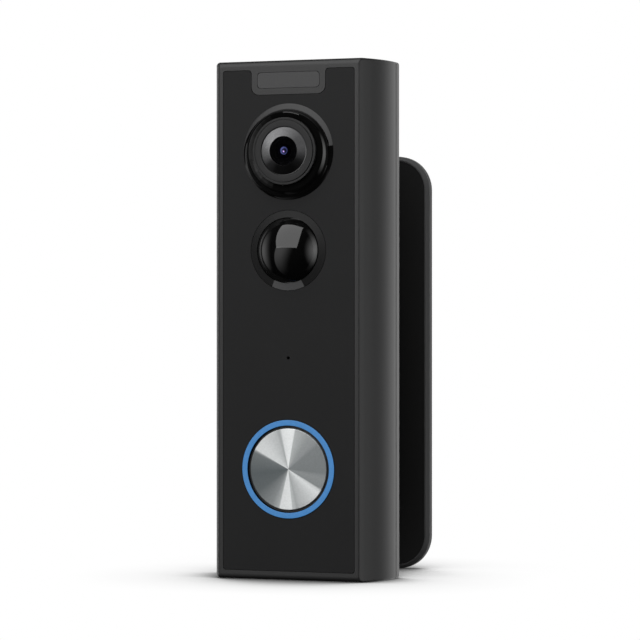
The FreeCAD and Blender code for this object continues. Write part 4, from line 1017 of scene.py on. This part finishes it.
class DOORPHONE_OT_studio(bpy.types.Operator):
    """Builds the camera, the floor, the plain room and the softbox"""

    bl_idname = "doorphone.studio"
    bl_label = "Studio"
    bl_options = {"REGISTER", "UNDO"}

    AIM = 0.02455  # across to the front corner by which the camera is set
    # from the middle of the dome to the softbox, and its two sides, at a reach of one
    KEY_PLACE = Vector((-0.074, -0.485, 0.605))
    KEY_ACROSS = Vector((1.01, -0.091, 0.012))
    KEY_UP = Vector((0.066, 0.687, 0.977))

    def execute(self, context):
        settings = context.scene.door_phone_studio
        self.build_camera(settings)
        self.build_floor()
        self.build_room(settings)
        self.build_softbox(settings)
        context.scene.view_settings.view_transform = "Standard"
        return {"FINISHED"}

    def build_camera(self, settings):
        """The camera, level and turned to the object's right."""
        data = bpy.data.cameras.new("photo_view")
        data.lens = settings.lens
        data.sensor_width = 36.0
        data.clip_end = 50.0
        view = placed("photo_view", data)
        ahead = Vector((-math.sin(settings.turn), math.cos(settings.turn), 0.0))
        right = Vector((math.cos(settings.turn), math.sin(settings.turn), 0.0))
        corner = Vector((self.AIM, FACE_Y, settings.height))
        view.location = corner - right * settings.aside - ahead * settings.distance
        view.rotation_euler = (math.pi / 2, 0.0, settings.turn)
        bpy.context.scene.camera = view

    def build_floor(self):
        """A white floor with a painted shadow that darkens it close to the object."""
        work = bmesh.new()
        bmesh.ops.create_grid(work, x_segments=8, y_segments=8, size=6.0)
        mesh = bpy.data.meshes.new("studio_floor")
        work.to_mesh(mesh)
        work.free()
        floor = placed("studio_floor", mesh)
        finish = Finish("studio_white")
        path = finish.add("ShaderNodeLightPath")
        # painted shadow: for the camera the floor glows white, darkened by ambient occlusion near the
        # object
        open_sky = finish.add("ShaderNodeAmbientOcclusion", samples=16, distance=0.05).outputs["AO"]
        shade = finish.greys(open_sky, [
            (0.0, 0.03), (0.5, 0.12), (0.61, 0.32), (0.73, 0.68), (0.79, 0.81), (0.85, 0.90),
            (0.92, 0.955), (1.0, 1.0),
        ])
        glow = finish.add("ShaderNodeEmission")
        finish.link(shade, glow.inputs["Color"])
        choice = finish.add("ShaderNodeMixShader")
        finish.link(path.outputs["Is Camera Ray"], choice.inputs[0])
        finish.set(base_color=(0.30, 0.30, 0.30, 1.0), roughness=1.0, specular_ior_level=0.0)
        finish.link(finish.shader.outputs[0], choice.inputs[1])
        finish.link(glow.outputs[0], choice.inputs[2])
        output = next(n for n in finish.nodes if n.type == "OUTPUT_MATERIAL")
        finish.link(choice.outputs[0], output.inputs["Surface"])
        mesh.materials.append(finish.material)
        floor.visible_glossy = False

    def build_room(self, settings):
        """White to the eye; to gloss, white behind the object, with glows at its sides and below."""
        world = bpy.data.worlds.new("studio_room")
        bpy.context.scene.world = world
        world.use_nodes = True
        world.cycles.sampling_method = "NONE"  # so that every ray meets the room as its own kind
        sheet = NodeSheet(world.node_tree)
        background = next(n for n in sheet.nodes if n.type == "BACKGROUND")
        path = sheet.add("ShaderNodeLightPath")
        split = sheet.add("ShaderNodeSeparateXYZ")
        sheet.link(sheet.add("ShaderNodeTexCoord").outputs["Generated"], split.inputs[0])
        x, y, z = split.outputs
        turn = sheet.math("ARCTAN2", x, sheet.product(y, -1.0))
        tilt = sheet.math("ARCSINE", z)
        level = sheet.rise(sheet.math("ABSOLUTE", z), 0.75, 0.25)
        behind = sheet.product(sheet.rise(y, 0.59, 0.87), level, settings.back_light)
        right = sheet.product(self.glow(sheet, turn, tilt, (84, 40), (0, 46)), settings.side_light)
        left = sheet.product(self.glow(sheet, turn, tilt, (-90, 32), (0, 42)), settings.edge_light)
        low_turn = sheet.total(turn, sheet.product(tilt, -0.36))
        low = sheet.product(
            sheet.rise(low_turn, math.radians(-44), math.radians(-40)),
            sheet.rise(low_turn, math.radians(16), math.radians(-28)),
            sheet.rise(tilt, math.radians(12), math.radians(6)),
            sheet.rise(tilt, math.radians(-72), math.radians(4)),
            settings.low_light,
        )
        camera, glossy = path.outputs["Is Camera Ray"], path.outputs["Is Glossy Ray"]
        mirrored = sheet.math("SUBTRACT", 1.0, path.outputs["Is Transmission Ray"])
        glows = sheet.product(mirrored, sheet.total(right, left, low))
        gloss = sheet.product(glossy, sheet.total(behind, glows))
        other = sheet.math("SUBTRACT", sheet.math("SUBTRACT", 1.0, camera), glossy)
        even = sheet.product(other, sheet.rise(z, -0.6, 0.6), settings.room_light)
        background.inputs["Color"].default_value = (1.0, 1.0, 1.0, 1.0)
        whole = sheet.total(camera, gloss, even)
        sheet.link(whole, background.inputs["Strength"])

    def glow(self, sheet, turn, tilt, turn_spread, tilt_spread):
        """A soft oval glow round a direction; spreads are (middle, half width) in degrees."""
        offsets = []
        for value, (middle, half) in ((turn, turn_spread), (tilt, tilt_spread)):
            away = sheet.math("SUBTRACT", value, math.radians(middle))
            share = sheet.math("DIVIDE", away, math.radians(half))
            offsets.append(sheet.product(share, share))
        return sheet.rise(sheet.math("SQRT", sheet.total(*offsets)), 1.0, 0.0)

    def build_softbox(self, settings):
        """A large lamp above and in front, set by where the dome mirrors it."""
        across, up, reach = self.KEY_ACROSS, self.KEY_UP, settings.key_reach
        data = bpy.data.lights.new("key_softbox", "AREA")
        data.shape = "RECTANGLE"
        data.size, data.size_y = across.length * reach, up.length * reach
        data.energy = settings.key_light * math.pi * data.size * data.size_y
        lamp = placed("key_softbox", data)
        side = across.normalized()
        back = side.cross(up).normalized()
        turn = Matrix((side, back.cross(side), back)).transposed()
        dome = Vector((0.0, FACE_Y, axis_height("pir_dome")))
        lamp.matrix_world = Matrix.Translation(dome + self.KEY_PLACE * reach) @ turn.to_4x4()
        lamp.visible_camera = False
        lamp.visible_transmission = False  # it already lights what is behind the lens


class DOORPHONE_PT_panel(bpy.types.Panel):
    """Lists the pieces and their settings."""

    bl_idname = "DOORPHONE_PT_panel"
    bl_label = "Door phone"
    bl_space_type = "VIEW_3D"
    bl_region_type = "UI"
    bl_category = "Door phone"

    def draw(self, context):
        for name in PROPERTIES:
            box = self.layout.box()
            group = getattr(context.scene, name)
            for field in group.bl_rna.properties:
                if field.identifier not in ("rna_type", "name"):
                    box.prop(group, field.identifier)
        for operator in OPERATORS:
            self.layout.operator(operator.bl_idname)


PROPERTIES = {
    "door_phone_plastics": PlasticFinishes,
    "door_phone_metals": MetalFinishes,
    "door_phone_round": RoundPieces,
    "door_phone_studio": StudioSettings,
}

OPERATORS = (
    DOORPHONE_OT_housing,
    DOORPHONE_OT_camera,
    DOORPHONE_OT_motion_sensor,
    DOORPHONE_OT_bell_button,
    DOORPHONE_OT_indoor_plate,
    DOORPHONE_OT_inner_parts,
    DOORPHONE_OT_studio,
)


def register():
    """Adds the settings, the operators and the panel."""
    for group in PROPERTIES.values():
        bpy.utils.register_class(group)
    for operator in OPERATORS:
        bpy.utils.register_class(operator)
    bpy.utils.register_class(DOORPHONE_PT_panel)
    for name, group in PROPERTIES.items():
        setattr(bpy.types.Scene, name, PointerProperty(type=group))


def unregister():
    """Takes them away again."""
    for name in PROPERTIES:
        delattr(bpy.types.Scene, name)
    bpy.utils.unregister_class(DOORPHONE_PT_panel)
    for operator in reversed(OPERATORS):
        bpy.utils.unregister_class(operator)
    for group in reversed(PROPERTIES.values()):
        bpy.utils.unregister_class(group)


def main():
    """Builds the whole scene."""
    register()
    bpy.ops.doorphone.housing()
    bpy.ops.doorphone.camera()
    bpy.ops.doorphone.motion_sensor()
    bpy.ops.doorphone.bell_button()
    bpy.ops.doorphone.indoor_plate()
    bpy.ops.doorphone.inner_parts()
    bpy.ops.doorphone.studio()


if __name__ == "__main__":
    main()
